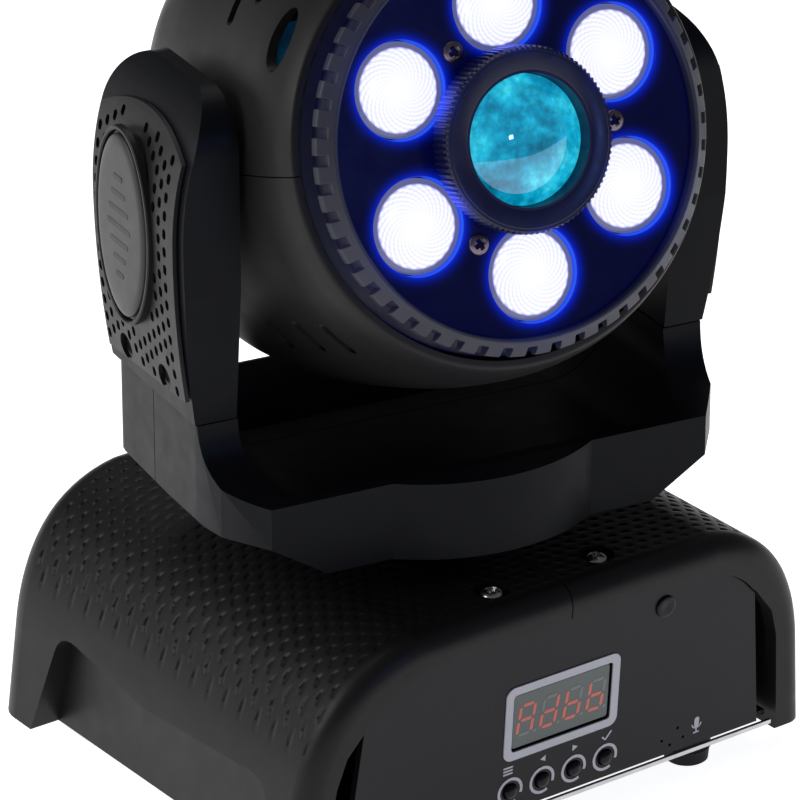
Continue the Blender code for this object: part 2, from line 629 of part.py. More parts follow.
def make_tilt_pins(yoke):
    """Hollow pins fixed in the arms, which the head turns on. The right one carries the fixed gear."""
    steel = material("pin_steel", (0.45, 0.45, 0.46), 0.35, 0.9)
    for name, side, flange in (("tilt_pin_left", -1, 11.0), ("tilt_gear", 1, 16.0)):
        nut = ARM_INNER + 2.4
        profile = [(5.0, GEAR_X[0]), (flange, GEAR_X[0]), (flange, GEAR_X[1]), (PIN_R, GEAR_X[1]),
                   (PIN_R, nut), (11.0, nut), (11.0, nut + 2.0), (5.0, nut + 2.0)]
        pin = turned(profile, "X", 20, (0, TILT_AXIS_Y, TILT_AXIS_Z))
        shape(name, mirrored(pin, side), steel, yoke)


# ---- head -----------------------------------------------------------------


def head_ring(y, half_w, half_h, power, points=32):
    """A rounded section of the head shell at y."""
    ring = []
    for i in range(points):
        turn = 2 * math.pi * i / points
        c, s = math.cos(turn), math.sin(turn)
        x = half_w * math.copysign(abs(c) ** (2 / power), c)
        z = half_h * math.copysign(abs(s) ** (2 / power), s)
        ring.append((x, y, z))
    return ring


HEAD_SECTIONS = (  # (y, half width, half height, squareness)
    (RIM_PLANE, RIM_R, RIM_R, 2.0),
    (-44.0, 56.6, 57.2, 2.02),
    (-32.0, 57.8, 60.2, 2.06),
    (-12.0, 57.8, 62.6, 2.12),
    (10.0, 57.8, 63.4, 2.2),
    (28.0, 57.0, 61.0, 2.35),
    (40.0, 53.0, 55.0, 2.45),
    (47.0, 46.0, 47.0, 2.4),
    (HEAD_BACK, 38.0, 38.0, 2.3),
)


def head_solid(inset=0.0):
    rings = []
    for y, half_w, half_h, power in HEAD_SECTIONS:
        along = y if y < 40 else y - inset
        rings.append(head_ring(along, half_w - inset, half_h - inset, power))
    if inset:
        first = HEAD_SECTIONS[0]
        rings.insert(0, head_ring(first[0] - 10, first[1] - inset, first[2] - inset, first[3]))
    return loft(rings)


def make_head_shells(head):
    inside = tool("head_inside", head_solid(HEAD_WALL), head)
    pin_hole = tool("head_pin_hole", rod(PIN_R + 0.5, -70, 70, "X", sides=20), head)
    slots = {"upper": [], "lower": []}
    for name, side in (("upper", 1), ("lower", -1)):
        for row in range(VENT_ROWS):
            middle = side * (4.0 + VENT_PITCH * row)
            reach = math.sqrt(VENT_R**2 - middle**2)
            slit = box((-reach, reach), (40, 60), (middle - SLOT_HALF, middle + SLOT_HALF))
            slots[name].append(tool("vent_slot", slit, head))
    for side in (-1, 1):
        reach = tuple(sorted((side * 22.0, side * 66.0)))
        for y, low, high in UPPER_SLOTS:
            slit = box(reach, (y - SLOT_HALF, y + SLOT_HALF), (low, high))
            slots["upper"].append(tool("upper_slot", slit, head))
        for y in LOWER_SLOTS:
            slit = box(reach, (y - SLOT_HALF, y + SLOT_HALF), (-46.5, -37.5))
            slots["lower"].append(tool("lower_slot", slit, head))
        window = rod(1.0, 40.0, 60.0, "X", sides=16)
        bmesh.ops.scale(window, vec=(1, 4.0, 7.0), verts=window.verts)
        bmesh.ops.translate(window, vec=(0, -38.5, 31.0), verts=window.verts)
        slots["upper"].append(tool("oval_slot", mirrored(window, side), head))
    for name, low, high in (("upper", SPLIT_GAP / 2, 120), ("lower", -120, -SPLIT_GAP / 2)):
        shell = shape(f"head_{name}_shell", head_solid(), plastic(f"head_{name}_plastic"), head)
        half = tool(f"head_half_{name}", box((-120, 120), (-120, 120), (low, high)), head)
        combine(shell, half, "INTERSECT")
        cut(shell, inside, pin_hole, *slots[name])


def make_front(head):
    """The plate with the six lenses, and the toothed ring round it."""
    outer, inner = RING_INNER - 0.4, TUBE_R + 0.8
    flat = [(inner, LED_PLANE), (outer, LED_PLANE), (outer, LED_PLANE + 2.0), (inner, LED_PLANE + 2.0)]
    plate = shape("front_plate", turned(flat, "Y", 36),
                  material("front_plate_plastic", (0.01, 0.012, 0.03), 0.12), head)
    white = material("lens_acrylic", (0.85, 0.87, 1.0), 0.1)
    for i in range(6):
        turn = math.radians(30 + 60 * i)
        centre = (LED_CIRCLE * math.cos(turn), 0, LED_CIRCLE * math.sin(turn))
        hole = rod(LENS_HOLE_R, LED_PLANE - 5, LED_PLANE + 5, "Y", centre, 24)
        cut(plate, tool(f"lens_hole_{i}", hole, head))
        lens = [(0.0, 1.0), (7.0, 1.2), (LENS_R, 2.0), (LENS_R, 3.6), (5.5, 10.0), (0.0, 10.0)]
        lens = [(radius, along + LED_PLANE) for radius, along in lens]
        shape(f"led_lens_{i + 1}", turned(lens, "Y", 20, centre), white, head)
    shelf = LED_PLANE + 2.4
    profile = [(RING_INNER, RING_FRONT), (RING_INNER + 0.6, RING_FRONT), (RING_R, -54.8), (RING_R, -52.6),
               (49.0, -52.6), (49.0, -47.0), (52.0, -46.4), (52.0, -40.0),
               (46.0, -40.0), (46.0, shelf), (RING_INNER, shelf)]
    ring = shape("front_ring", turned(profile, "Y", RING_TEETH),
                 material("ring_plastic", (0.12, 0.12, 0.125), 0.45), head)
    gaps = bmesh.new()
    for i in range(RING_TEETH):
        turn = 2 * math.pi * (i + 0.5) / RING_TEETH
        made = bmesh.ops.create_cube(gaps, size=1.0)["verts"]
        bmesh.ops.scale(gaps, vec=(6.0, 8.0, 2.7), verts=made)
        bmesh.ops.translate(gaps, vec=(RING_BAND_R + 3.0, -55.5, 0), verts=made)
        bmesh.ops.rotate(gaps, matrix=Matrix.Rotation(turn, 3, "Y"), verts=made)
    cut(ring, tool("ring_gaps", gaps, head))


def make_optics(head):
    """Focus ring and lens, the lamp boards, and the heat sink behind them."""
    black = material("focus_plastic", (0.012, 0.013, 0.03), 0.35)
    bore = GLASS_R + 0.3
    ring = [(bore, FOCUS_FRONT + 0.5), (bore + 1.6, FOCUS_FRONT), (FOCUS_R - 0.8, FOCUS_FRONT),
            (FOCUS_R, FOCUS_FRONT + 0.8), (FOCUS_R, LED_PLANE - SPLIT_GAP), (TUBE_R, LED_PLANE - SPLIT_GAP),
            (TUBE_R, LED_PLANE + 8), (bore, LED_PLANE + 8)]
    shape("focus_ring", turned(ring, "Y", 36), black, head)
    glass = [(0.0, 1.2), (6.0, 1.6), (11.5, 2.8), (GLASS_R, 4.6), (GLASS_R, 6.6), (11.5, 8.0), (0.0, 8.8)]
    glass = [(radius, along + FOCUS_FRONT) for radius, along in glass]
    shape("front_lens", turned(glass, "Y", 28), material("lens_glass", (0.02, 0.35, 0.45), 0.05), head)
    shape("led_board", turned([(22.5, -44.5), (44.5, -44.5), (44.5, -42.7), (22.5, -42.7)], "Y", 24),
          material("led_board_mask", (0.6, 0.6, 0.58), 0.4), head)
    spot = [(0.0, 9.5), (6.0, 9.5), (6.0, 13.0), (14.0, 13.0), (14.0, 15.0), (0.0, 15.0)]
    shape("spot_led", turned(spot, "Y", 16), material("spot_led_face", (0.8, 0.78, 0.5), 0.4), head)
    sink = shape("heat_sink", box((-30, 30), (15.4, 19), (-30, 30)),
                 material("sink_aluminium", (0.6, 0.6, 0.61), 0.45, 0.9), head)
    fins = bmesh.new()
    for i in range(9):
        made = bmesh.ops.create_cube(fins, size=1.0)["verts"]
        bmesh.ops.scale(fins, vec=(1.6, 13, 60), verts=made)
        bmesh.ops.translate(fins, vec=(-28 + 7 * i, 24.5, 0), verts=made)
    combine(sink, tool("sink_fins", fins, head), "UNION")


def make_fan(head):
    rotor = shape("fan_rotor", rod(9.0, 34, 42, "Y", sides=24),
                  material("fan_plastic", (0.02, 0.02, 0.02), 0.5), head)
    blades = bmesh.new()
    for i in range(7):
        made = bmesh.ops.create_cube(blades, size=1.0)["verts"]
        bmesh.ops.scale(blades, vec=(14.0, 1.4, 9.0), verts=made)
        bmesh.ops.rotate(blades, matrix=Matrix.Rotation(math.radians(38), 3, "X"), verts=made)
        bmesh.ops.translate(blades, vec=(15.0, 38, 0), verts=made)
        bmesh.ops.rotate(blades, matrix=Matrix.Rotation(2 * math.pi * i / 7, 3, "Y"), verts=made)
    combine(rotor, tool("fan_blades", blades, head), "UNION")


def make_wheels(head):
    """The colour and pattern wheels between the spot lamp and the front lens, each with its motor."""
    places = (("colour_wheel", 1, (-WHEEL_CIRCLE, 3.0, 0)), ("pattern_wheel", -1, (WHEEL_CIRCLE, -4.0, 0)))
    for name, step, at in places:
        wheel = shape(name, rod(WHEEL_R, -0.5, 0.5, "Y", sides=40),
                      material(f"{name}_glass", (0.5, 0.5, 0.5), 0.3, 0.5), head, at)
        for k in range(WHEEL_HOLES):
            turn = 2 * math.pi * k / WHEEL_HOLES
            centre = (WHEEL_CIRCLE * math.cos(turn), 0, WHEEL_CIRCLE * math.sin(turn))
            cut(wheel, tool(f"{name}_hole_{k}", rod(WHEEL_HOLE_R, -3, 3, "Y", centre, 10), head, at))
        cut(wheel, tool(f"{name}_bore", rod(1.6, -3, 3, "Y", sides=12), head, at))
        body = rod(9.0, *sorted((step * 1.6, step * 9.0)), "Y", sides=20)
        motor = shape(f"{name}_motor", body,
                      material(f"{name}_motor_metal", (0.4, 0.4, 0.41), 0.4, 0.9), head, at)
        spindle = rod(1.2, *sorted((step * 2.4, -step * 1.6)), "Y", sides=10)
        combine(motor, tool(f"{name}_spindle", spindle, head, at), "UNION")


def make_tilt_motor(head):
    """The motor in the head whose pinion walks round the fixed gear on the right pin."""
    silver = material("tilt_motor_metal", (0.4, 0.4, 0.41), 0.4, 0.9)
    motor = shape("tilt_motor", rod(12.0, 28, GEAR_X[0] - 2, "X", PINION_AT, 24), silver, head)
    spindle = rod(1.5, GEAR_X[0] - 3, GEAR_X[1] + 0.4, "X", PINION_AT, 12)
    combine(motor, tool("tilt_motor_spindle", spindle, head), "UNION")
    blank = [(1.8, GEAR_X[0]), (PINION_R, GEAR_X[0]), (PINION_R, GEAR_X[1]), (1.8, GEAR_X[1])]
    shape("tilt_pinion", turned(blank, "X", 20),
          material("pinion_brass", (0.5, 0.38, 0.15), 0.35, 0.9), head, PINION_AT)


wipe_scene()
PARTS = collection("moving_head_light")
CUTTERS = collection("cutters")
make_base_plate()
make_covers()
make_panels()
make_front_controls()
make_sockets()
make_pan_drive()
make_power_supply()
pan_axis = empty("pan_axis", None, (0, 0, 0), (0, 0, PAN_REST))
make_lower_yoke(pan_axis)
make_arms(pan_axis)
make_pan_pulley(pan_axis)
make_tilt_pins(pan_axis)
tilt_axis = empty("tilt_axis", pan_axis, (0, TILT_AXIS_Y, TILT_AXIS_Z), (-TILT_REST, 0, 0))
make_head_shells(tilt_axis)
make_front(tilt_axis)
make_optics(tilt_axis)
make_fan(tilt_axis)
make_wheels(tilt_axis)
make_tilt_motor(tilt_axis)
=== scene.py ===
"""Looks of the compact moving head light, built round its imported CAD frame.

Lengths are millimetres and become metres where a piece is made.
The base is modelled in the row frame, the yoke about the pan axis and the head about the tilt axis.
"""

import math

import bmesh
import bpy
import numpy as np
from mathutils import Matrix, Vector


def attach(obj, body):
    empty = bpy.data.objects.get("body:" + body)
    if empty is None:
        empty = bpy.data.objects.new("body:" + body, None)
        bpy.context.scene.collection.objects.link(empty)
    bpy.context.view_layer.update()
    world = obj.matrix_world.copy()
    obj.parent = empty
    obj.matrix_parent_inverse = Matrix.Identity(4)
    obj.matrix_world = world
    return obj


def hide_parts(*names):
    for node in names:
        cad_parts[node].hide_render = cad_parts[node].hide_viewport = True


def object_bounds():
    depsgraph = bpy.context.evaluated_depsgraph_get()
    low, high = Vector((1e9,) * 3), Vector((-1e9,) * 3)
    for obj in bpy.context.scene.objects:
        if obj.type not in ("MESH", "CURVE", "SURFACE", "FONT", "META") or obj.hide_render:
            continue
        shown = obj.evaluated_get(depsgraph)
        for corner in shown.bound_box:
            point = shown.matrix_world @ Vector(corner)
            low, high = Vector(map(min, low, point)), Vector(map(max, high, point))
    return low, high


MM = 0.001

# Pose and axes
TILT_AXIS = (0, -7.5, 161.3)
PAN = Matrix.Rotation(math.radians(-9.5), 4, "Z")
TILT = PAN @ Matrix.Translation(TILT_AXIS) @ Matrix.Rotation(math.radians(-17.2), 4, "X")
BASE = Matrix.Identity(4)

# Base cover
LEG_DROP = 3.5
LEG_HALF_X = 82.3
SHOULDER_START = (78.7, 23.5)
SHOULDER_PULL = (73.5, 56.5)
SHOULDER_END = (46.0, 60.5)
COVER_TOP = 61.0
HALF_DEPTH = 66.0
DEPTH_DRAFT = 0.1
RIM_ROUND = 6.0
REAR_ROUND = 9.5
RIM_LIP = 5.0
COVER_WALL = 2.5
SKIRT_X = 73.7
CREASE_Z = 24.5
SPLIT_GAP = 0.3
SCREW_AT = (16.3, -60.0)
SCREW_SINK, SCREW_SINK_R, SCREW_HOLE_R = 1.6, 4.6, 1.7
PAN_HOLE_R = 21.0
HINGE_LINE = ((32.5, -29.8), (27.4, -35.7), (23.6, -43.4), (20.7, -48.9), (18.4, -55.3), (17.2, -59.7))
HINGE_DEPTH = 0.4

# Dimples on the cover
SCALE_PITCH = (4.3, 3.4)
SCALE_SIZE = (1.45, 1.35)
SCALE_DEPTH = 0.45
SCALE_MESH = 0.38
SCALE_LOW_Z = 33.0

# Panels
PANEL_Y = 67.7
REAR_PANEL_Y = 65.0
PANEL_TOP = 52.0
DISPLAY_Z = 26.7
DISPLAY_W, DISPLAY_H = 30.7, 15.9
BUTTON_PITCH = 10.0
BUTTON_Z = 7.2
BUTTON_R = 1.9
INK_SUNK = 0.05
PLUG_X, PLUG_Z, PLUG_R = 31.4, 45.8, 3.0
SOCKET_Z = 27.0
DMX_R = 12.0
CONTACT_CIRCLE = 4.6
FUSE_X, FUSE_Z = -56.0, 8.2
PANEL = (Matrix.Translation((0, -PANEL_Y, DISPLAY_Z)) @ Matrix.Rotation(math.radians(4.0), 4, "X")
         @ Matrix.Translation((0, 0, -DISPLAY_Z)))
REAR = Matrix.Translation((0, REAR_PANEL_Y, 0))

# Yoke
ARM_INNER, ARM_OUTER = 59.3, 74.3
ARM_BULGE_Z = 152.5
ARM_FRONT, ARM_REAR = -33.5, 18.5
ARM_TOP = 188.5
ARM_CORNER = 15.0
ARM_SEAM_Z = 105.0
YOKE_SEAM_Y = -3.0
YOKE_HALF = 70.0
YOKE_REAR = 22.5
LIP_Z, LIP_Y, LIP_HALF = 89.3, -50.5, 60.0
BULGE_R, BULGE_Y = 47.4, -11.8
YOKE_BOTTOM = 69.0
TROUGH_FLOOR = 83.4
TROUGH_CORNER = 18.0
PLATE_THICK = 1.1
PLATE_SCREWS = ((3.9, 113.5), (-18.7, 114.2))
PLATE_SCREW_R = 3.4
PLATE_FRONT, PLATE_REAR = -30.0, 15.5
PLATE_ARC = (-7.0, 134.0)
HOLE_PITCH = (3.3, 4.6)
HOLE_MARGIN = 1.6
HOLE_STRETCH = 0.36
BADGE_Y, BADGE_Z = -3.4, 148.8
BADGE_W, BADGE_H = 27.0, 47.0
PIN_R = 8.0

# Head, measured from the tilt axis
LED_PLANE = -55.5
RING_INNER = 47.2
RING_R = 51.7
RING_FRONT = -57.7
RING_TEETH = 48
LED_CIRCLE = 32.3
FRONT_SCREW_CIRCLE = 26.4
LED_ANGLES = [30 + 60 * i for i in range(6)]
LENS_R = 11.4
LENS_HOLE_R = 11.9
FOCUS_R = 22.3
FOCUS_FRONT = -63.2
GLASS_R = 15.6
TUBE_R = 17.9
HEAD_WALL = 2.4
RIM_EDGE = 0.9
RIM_BACK = -48.1
WINDOW_Y, WINDOW_Z = -38.5, 31.0
WINDOW_HALF = (4.0, 7.0)
SLOT_HALF = 1.5
VENT_R, VENT_ROWS, VENT_PITCH = 28.0, 4, 6.0
UPPER_SLOTS = ((-11.0, 34.0, 48.0), (-21.0, 38.5, 50.0), (-31.0, 42.0, 52.0))
LOWER_SLOTS = (-3.0, -18.5, -31.5)
HEAD_SECTIONS = (  # (y, half width, half height, squareness)
    (-49.0, 55.0, 55.0, 2.0),
    (-44.0, 56.6, 57.2, 2.02),
    (-32.0, 57.8, 60.2, 2.06),
    (-12.0, 57.8, 62.6, 2.12),
    (10.0, 57.8, 63.4, 2.2),
    (28.0, 57.0, 61.0, 2.35),
    (40.0, 53.0, 55.0, 2.45),
    (47.0, 46.0, 47.0, 2.4),
    (50.0, 38.0, 38.0, 2.3),
)

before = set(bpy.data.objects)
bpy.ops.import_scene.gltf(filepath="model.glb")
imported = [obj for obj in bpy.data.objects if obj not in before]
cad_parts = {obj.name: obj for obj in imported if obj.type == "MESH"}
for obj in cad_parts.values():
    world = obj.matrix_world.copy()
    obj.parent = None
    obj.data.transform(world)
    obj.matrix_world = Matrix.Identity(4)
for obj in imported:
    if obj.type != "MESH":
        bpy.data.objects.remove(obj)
cad_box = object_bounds()


# ---- meshes ---------------------------------------------------------------


def box(x, y, z):
    """A box from three (low, high) pairs."""
    bm = bmesh.new()
    bmesh.ops.create_cube(bm, size=1.0)
    for vert in bm.verts:
        vert.co = [low + (high - low) * (c + 0.5) for c, (low, high) in zip(vert.co, (x, y, z))]
    return bm


TURNS = {
    "X": Matrix.Rotation(math.pi / 2, 4, "Y"),
    "Y": Matrix.Rotation(-math.pi / 2, 4, "X"),
    "Z": Matrix.Identity(4),
}


def moved(bm, *matrices):
    for matrix in matrices:
        bm.transform(matrix)
    bm.normal_update()
    return bm


def rod(radius, low, high, axis="Z", at=(0, 0, 0), sides=48):
    bm = bmesh.new()
    bmesh.ops.create_cone(
        bm, cap_ends=True, segments=sides, radius1=radius, radius2=radius, depth=high - low
    )
    return moved(bm, Matrix.Translation((0, 0, (low + high) / 2)), TURNS[axis], Matrix.Translation(at))


def prism(outline, low, high, axis):
    """Extrudes an outline along X (points are y, z), Y (x, z) or Z (x, y)."""
    bm = bmesh.new()
    slot = "XYZ".index(axis)
    ends = []
    for level in (low, high):
        points = [list(pair) for pair in outline]
        for point in points:
            point.insert(slot, level)
        ends.append([bm.verts.new(point) for point in points])
    bm.faces.new(ends[0])
    bm.faces.new(ends[1])
    count = len(outline)
    for i in range(count):
        j = (i + 1) % count
        bm.faces.new((ends[0][i], ends[0][j], ends[1][j], ends[1][i]))
    return bm


def loft(rings, closed=False):
    """A closed solid through rings of equally many points; closed joins the last ring to the first."""
    bm = bmesh.new()
    rows = [[bm.verts.new(point) for point in ring] for ring in rings]
    count = len(rows[0])
    for near, far in zip(rows, rows[1:] + (rows[:1] if closed else [])):
        for i in range(count):
            j = (i + 1) % count
            bm.faces.new((near[i], near[j], far[j], far[i]))
    if not closed:
        bm.faces.new(rows[0])
        bm.faces.new(rows[-1])
    return bm


def turned(profile, axis="Y", sides=96, at=(0, 0, 0)):
    """A closed (radius, along) profile swept round an axis through at."""
    bm = bmesh.new()
    turns = [2 * math.pi * i / sides for i in range(sides)]
    rows = []
    for radius, along in profile:
        if radius:
            rows.append([bm.verts.new((radius * math.cos(t), radius * math.sin(t), along)) for t in turns])
        else:
            rows.append([bm.verts.new((0, 0, along))] * sides)
    for near, far in zip(rows, rows[1:] + rows[:1]):
        for i in range(sides):
            j = (i + 1) % sides
            corners = list(dict.fromkeys((near[i], near[j], far[j], far[i])))
            if len(corners) > 2:
                bm.faces.new(corners)
    return moved(bm, TURNS[axis], Matrix.Translation(at))


def arc(centre, radius, start, stop, steps):
    """Points along a circle, between two angles in degrees."""
    turns = [math.radians(start + (stop - start) * i / steps) for i in range(steps + 1)]
    return [(centre[0] + radius * math.cos(t), centre[1] + radius * math.sin(t)) for t in turns]


def bend(start, pull, stop, steps):
    """Points along a curve that leaves start towards pull and reaches stop from it."""
    points = []
    for i in range(steps + 1):
        t = i / steps
        a, b, c = (1 - t) ** 2, 2 * t * (1 - t), t**2
        points.append(tuple(a * p + b * q + c * r for p, q, r in zip(start, pull, stop)))
    return points


def both_sides(right):
    """A symmetrical outline from its right half."""
    return right + [(-x, z) for x, z in reversed(right)]


def rounded_box(half_w, half_h, radius, centre=(0, 0), steps=6):
    """A rounded rectangle's outline, counter-clockwise."""
    outline = []
    for turn, sx, sy in ((0, 1, 1), (90, -1, 1), (180, -1, -1), (270, 1, -1)):
        corner = (centre[0] + sx * (half_w - radius), centre[1] + sy * (half_h - radius))
        outline += arc(corner, radius, turn, turn + 90, steps)
    return outline


def resampled(points, pitch):
    """The same line with points at an even spacing near pitch."""
    points = np.array(points, float)
    lengths = np.hypot(*np.diff(points, axis=0).T)
    along = np.r_[0, np.cumsum(lengths)]
    count = max(2, round(along[-1] / pitch) + 1)
    steps = np.linspace(0, along[-1], count)
    return np.stack([np.interp(steps, along, points[:, k]) for k in (0, 1)], axis=1)


def joined(parts):
    """Several bmeshes as one."""
    bm = bmesh.new()
    for part in parts:
        mesh = bpy.data.meshes.new("part")
        part.to_mesh(mesh)
        part.free()
        bm.from_mesh(mesh)
        bpy.data.meshes.remove(mesh)
    return bm


def temporary(bm):
    """A helper object from a bmesh, its faces turned outwards."""
    bm.normal_update()
    bmesh.ops.recalc_face_normals(bm, faces=bm.faces)
    mesh = bpy.data.meshes.new("temporary")
    bm.to_mesh(mesh)
    bm.free()
    made = bpy.data.objects.new("temporary", mesh)
    bpy.context.scene.collection.objects.link(made)
    return made


def evaluated(target):
    """The mesh of an object with its modifiers applied."""
    bpy.context.view_layer.update()
    graph = bpy.context.evaluated_depsgraph_get()
    return bpy.data.meshes.new_from_object(target.evaluated_get(graph))


def applied(target):
    """Turns an object's modifiers into its mesh."""
    mesh = evaluated(target)
    target.modifiers.clear()
    target.data = mesh
    return mesh


def carve(bm, *steps):
    """Applies (operation, bmesh) steps to a solid, each a Boolean."""
    target = temporary(bm)
    helpers = [target]
    for operation, other in steps:
        step = target.modifiers.new(operation, "BOOLEAN")
        step.operation = operation
        step.solver = "MANIFOLD"
        step.object = temporary(other)
        helpers.append(step.object)
    mesh = evaluated(target)
    result = bmesh.new()
    result.from_mesh(mesh)
    bpy.data.meshes.remove(mesh)
    for helper in helpers:
        bpy.data.objects.remove(helper, do_unlink=True)
    return result


def cut(bm, *others):
    return carve(bm, *[("DIFFERENCE", other) for other in others])


def piece(name, bm, finish, body, where=BASE, stands_for=(), bevel=0.0, smooth=32.0,
          segments=3, mirror=False):
    """Turns a bmesh in millimetres into a finished piece that rides on a body."""
    if mirror:
        moved(bm, Matrix.Scale(-1, 4, (1, 0, 0)))
    if bevel:
        bmesh.ops.remove_doubles(bm, verts=bm.verts, dist=0.002)
        bmesh.ops.dissolve_limit(bm, angle_limit=math.radians(0.6), verts=bm.verts, edges=bm.edges)
    bmesh.ops.recalc_face_normals(bm, faces=bm.faces)
    mesh = bpy.data.meshes.new(name)
    bm.to_mesh(mesh)
    bm.free()
    made = bpy.data.objects.new(name, mesh)
    bpy.context.scene.collection.objects.link(made)
    if bevel:
        step = made.modifiers.new("rounding", "BEVEL")
        step.width = bevel
        step.segments = segments
        step.limit_method = "ANGLE"
        step.angle_limit = math.radians(28)
        step.miter_outer = "MITER_ARC"
        mesh = applied(made)
    mesh.polygons.foreach_set("use_smooth", [True] * len(mesh.polygons))
    mesh.set_sharp_from_angle(angle=math.radians(smooth))
    if bevel:
        step = made.modifiers.new("flat_faces", "WEIGHTED_NORMAL")
        step.keep_sharp = True
        step.weight = 100
        mesh = applied(made)
    mesh.transform(Matrix.Scale(MM, 4) @ where)
    mesh.materials.clear()
    mesh.materials.append(finish)
    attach(made, body)
    if stands_for:
        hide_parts(*([stands_for] if isinstance(stands_for, str) else stands_for))
    return made


# ---- materials ------------------------------------------------------------


def node(tree, kind, **inputs):
    made = tree.nodes.new(kind)
    for name, value in inputs.items():
        made.inputs[name.replace("_", " ")].default_value = value
    return made


def bare(name, colour, roughness, metallic=0.0, **sockets):
    """A material with its Principled shader and an object-space coordinate node."""
    made = bpy.data.materials.new(name)
    made.use_nodes = True
    tree = made.node_tree
    shader = tree.nodes["Principled BSDF"]
    shader.inputs["Base Color"].default_value = (*colour, 1.0)
    shader.inputs["Roughness"].default_value = roughness
    shader.inputs["Metallic"].default_value = metallic
    for socket, value in sockets.items():
        shader.inputs[socket.replace("_", " ")].default_value = value
    where = tree.nodes.new("ShaderNodeTexCoord").outputs["Object"]
    return made, tree, shader, where


def noise(tree, where, size, detail=3.0, roughness=0.55):
    """Noise whose features are about size millimetres across."""
    made = node(tree, "ShaderNodeTexNoise", Scale=1000.0 / size, Detail=detail, Roughness=roughness)
    tree.links.new(where, made.inputs["Vector"])
    return made.outputs["Fac"]


def spread(tree, fac, low, high, start=0.3, stop=0.7):
    made = node(tree, "ShaderNodeMapRange", From_Min=start, From_Max=stop, To_Min=low, To_Max=high)
    tree.links.new(fac, made.inputs["Value"])
    return made.outputs["Result"]


def tinted(tree, fac, low, high):
    """A colour that runs from low to high."""
    made = tree.nodes.new("ShaderNodeValToRGB")
    made.color_ramp.elements[0].position = 0.3
    made.color_ramp.elements[1].position = 0.7
    made.color_ramp.elements[0].color = (*low, 1.0)
    made.color_ramp.elements[1].color = (*high, 1.0)
    tree.links.new(fac, made.inputs["Fac"])
    return made.outputs["Color"]


def bump(tree, shader, fac, depth):
    """Relief of the given depth in millimetres."""
    made = node(tree, "ShaderNodeBump", Strength=1.0, Distance=depth * MM)
    tree.links.new(fac, made.inputs["Height"])
    tree.links.new(made.outputs["Normal"], shader.inputs["Normal"])


def moulded(name, colour, roughness=0.45, grain=0.35, depth=0.012, vary=0.1, spread_rough=0.04,
            specular=0.17, **sockets):
    """Satin moulded plastic: fine spark-eroded grain with slow changes of tone and gloss."""
    made, tree, shader, where = bare(name, colour, roughness, Specular_IOR_Level=specular, **sockets)
    slow = noise(tree, where, 26.0, 2.0)
    low = [c * (1 - vary) for c in colour]
    high = [c * (1 + vary) for c in colour]
    tree.links.new(tinted(tree, slow, low, high), shader.inputs["Base Color"])
    mottle = noise(tree, where, 6.0, 4.0)
    tree.links.new(spread(tree, mottle, roughness - spread_rough, roughness + spread_rough),
                   shader.inputs["Roughness"])
    bump(tree, shader, noise(tree, where, grain, 3.0, 0.6), depth)
    return made


def brushed(name, colour, roughness, along=(1.0, 1.0, 12.0), size=0.5, depth=0.006):
    """Metal with fine machining lines and a little uneven gloss."""
    made, tree, shader, where = bare(name, colour, roughness, 1.0)
    mapping = node(tree, "ShaderNodeMapping", Scale=along)
    tree.links.new(where, mapping.inputs["Vector"])
    lines = noise(tree, mapping.outputs["Vector"], size, 4.0)
    low = [c * 0.82 for c in colour]
    tree.links.new(tinted(tree, noise(tree, where, 5.0), low, colour), shader.inputs["Base Color"])
    tree.links.new(spread(tree, lines, roughness * 0.8, roughness * 1.25), shader.inputs["Roughness"])
    bump(tree, shader, lines, depth)
    return made


def math_node(tree, operation, first, *others):
    """A Math node on first, whose other inputs are numbers or sockets."""
    made = tree.nodes.new("ShaderNodeMath")
    made.operation = operation
    tree.links.new(first, made.inputs[0])
    for socket, value in zip(list(made.inputs)[1:], others):
        if isinstance(value, float):
            socket.default_value = value
        else:
            tree.links.new(value, socket)
    return made.outputs["Value"]


def nearest(tree, where, centres):
    """The distance, in metres, to the nearest of several points."""
    best = None
    for centre in centres:
        step = tree.nodes.new("ShaderNodeVectorMath")
        step.operation = "DISTANCE"
        step.inputs[1].default_value = centre
        tree.links.new(where, step.inputs[0])
        here = step.outputs["Value"]
        best = here if best is None else math_node(tree, "MINIMUM", best, here)
    return best


def led_centre(i, y=0.0):
    turn = math.radians(LED_ANGLES[i])
    return (LED_CIRCLE * math.cos(turn), y, LED_CIRCLE * math.sin(turn))


def on_head(x, y, z):
    """A point of the head in the row frame, in metres."""
    return (TILT @ Vector((x, y, z))) * MM


PAINTED_GLOW_POWER = 4.0
LED_CENTRES = [on_head(*led_centre(i, LED_PLANE)) for i in range(6)]


def painted_glow_plastic(name, colour, roughness, glow, strength, near, far, faint_painted_glow, **sockets):
    """Black plastic with painted lamp glow: an emission, strong beside the lamps and faint (ambient)
    elsewhere, that stands in for the lamps' scattered light.
    """
    made, tree, shader, where = bare(name, colour, roughness, **sockets)
    away = nearest(tree, where, LED_CENTRES)
    # Painted glow: emission strength falls off with distance from the nearest lamp, over a faint painted glow
    # everywhere.
    fall = node(tree, "ShaderNodeMapRange", From_Min=near * MM, From_Max=far * MM, To_Min=1.0, To_Max=0.0)
    tree.links.new(away, fall.inputs["Value"])
    power = math_node(tree, "POWER", fall.outputs["Result"], PAINTED_GLOW_POWER)
    scale = math_node(tree, "MULTIPLY_ADD", power, strength, faint_painted_glow)
    shader.inputs["Emission Color"].default_value = (*glow, 1.0)
    tree.links.new(scale, shader.inputs["Emission Strength"])
    tree.links.new(spread(tree, noise(tree, where, 8.0), roughness * 0.8, roughness * 1.3),
                   shader.inputs["Roughness"])
    bump(tree, shader, noise(tree, where, 0.8, 3.0), 0.004)
    return made


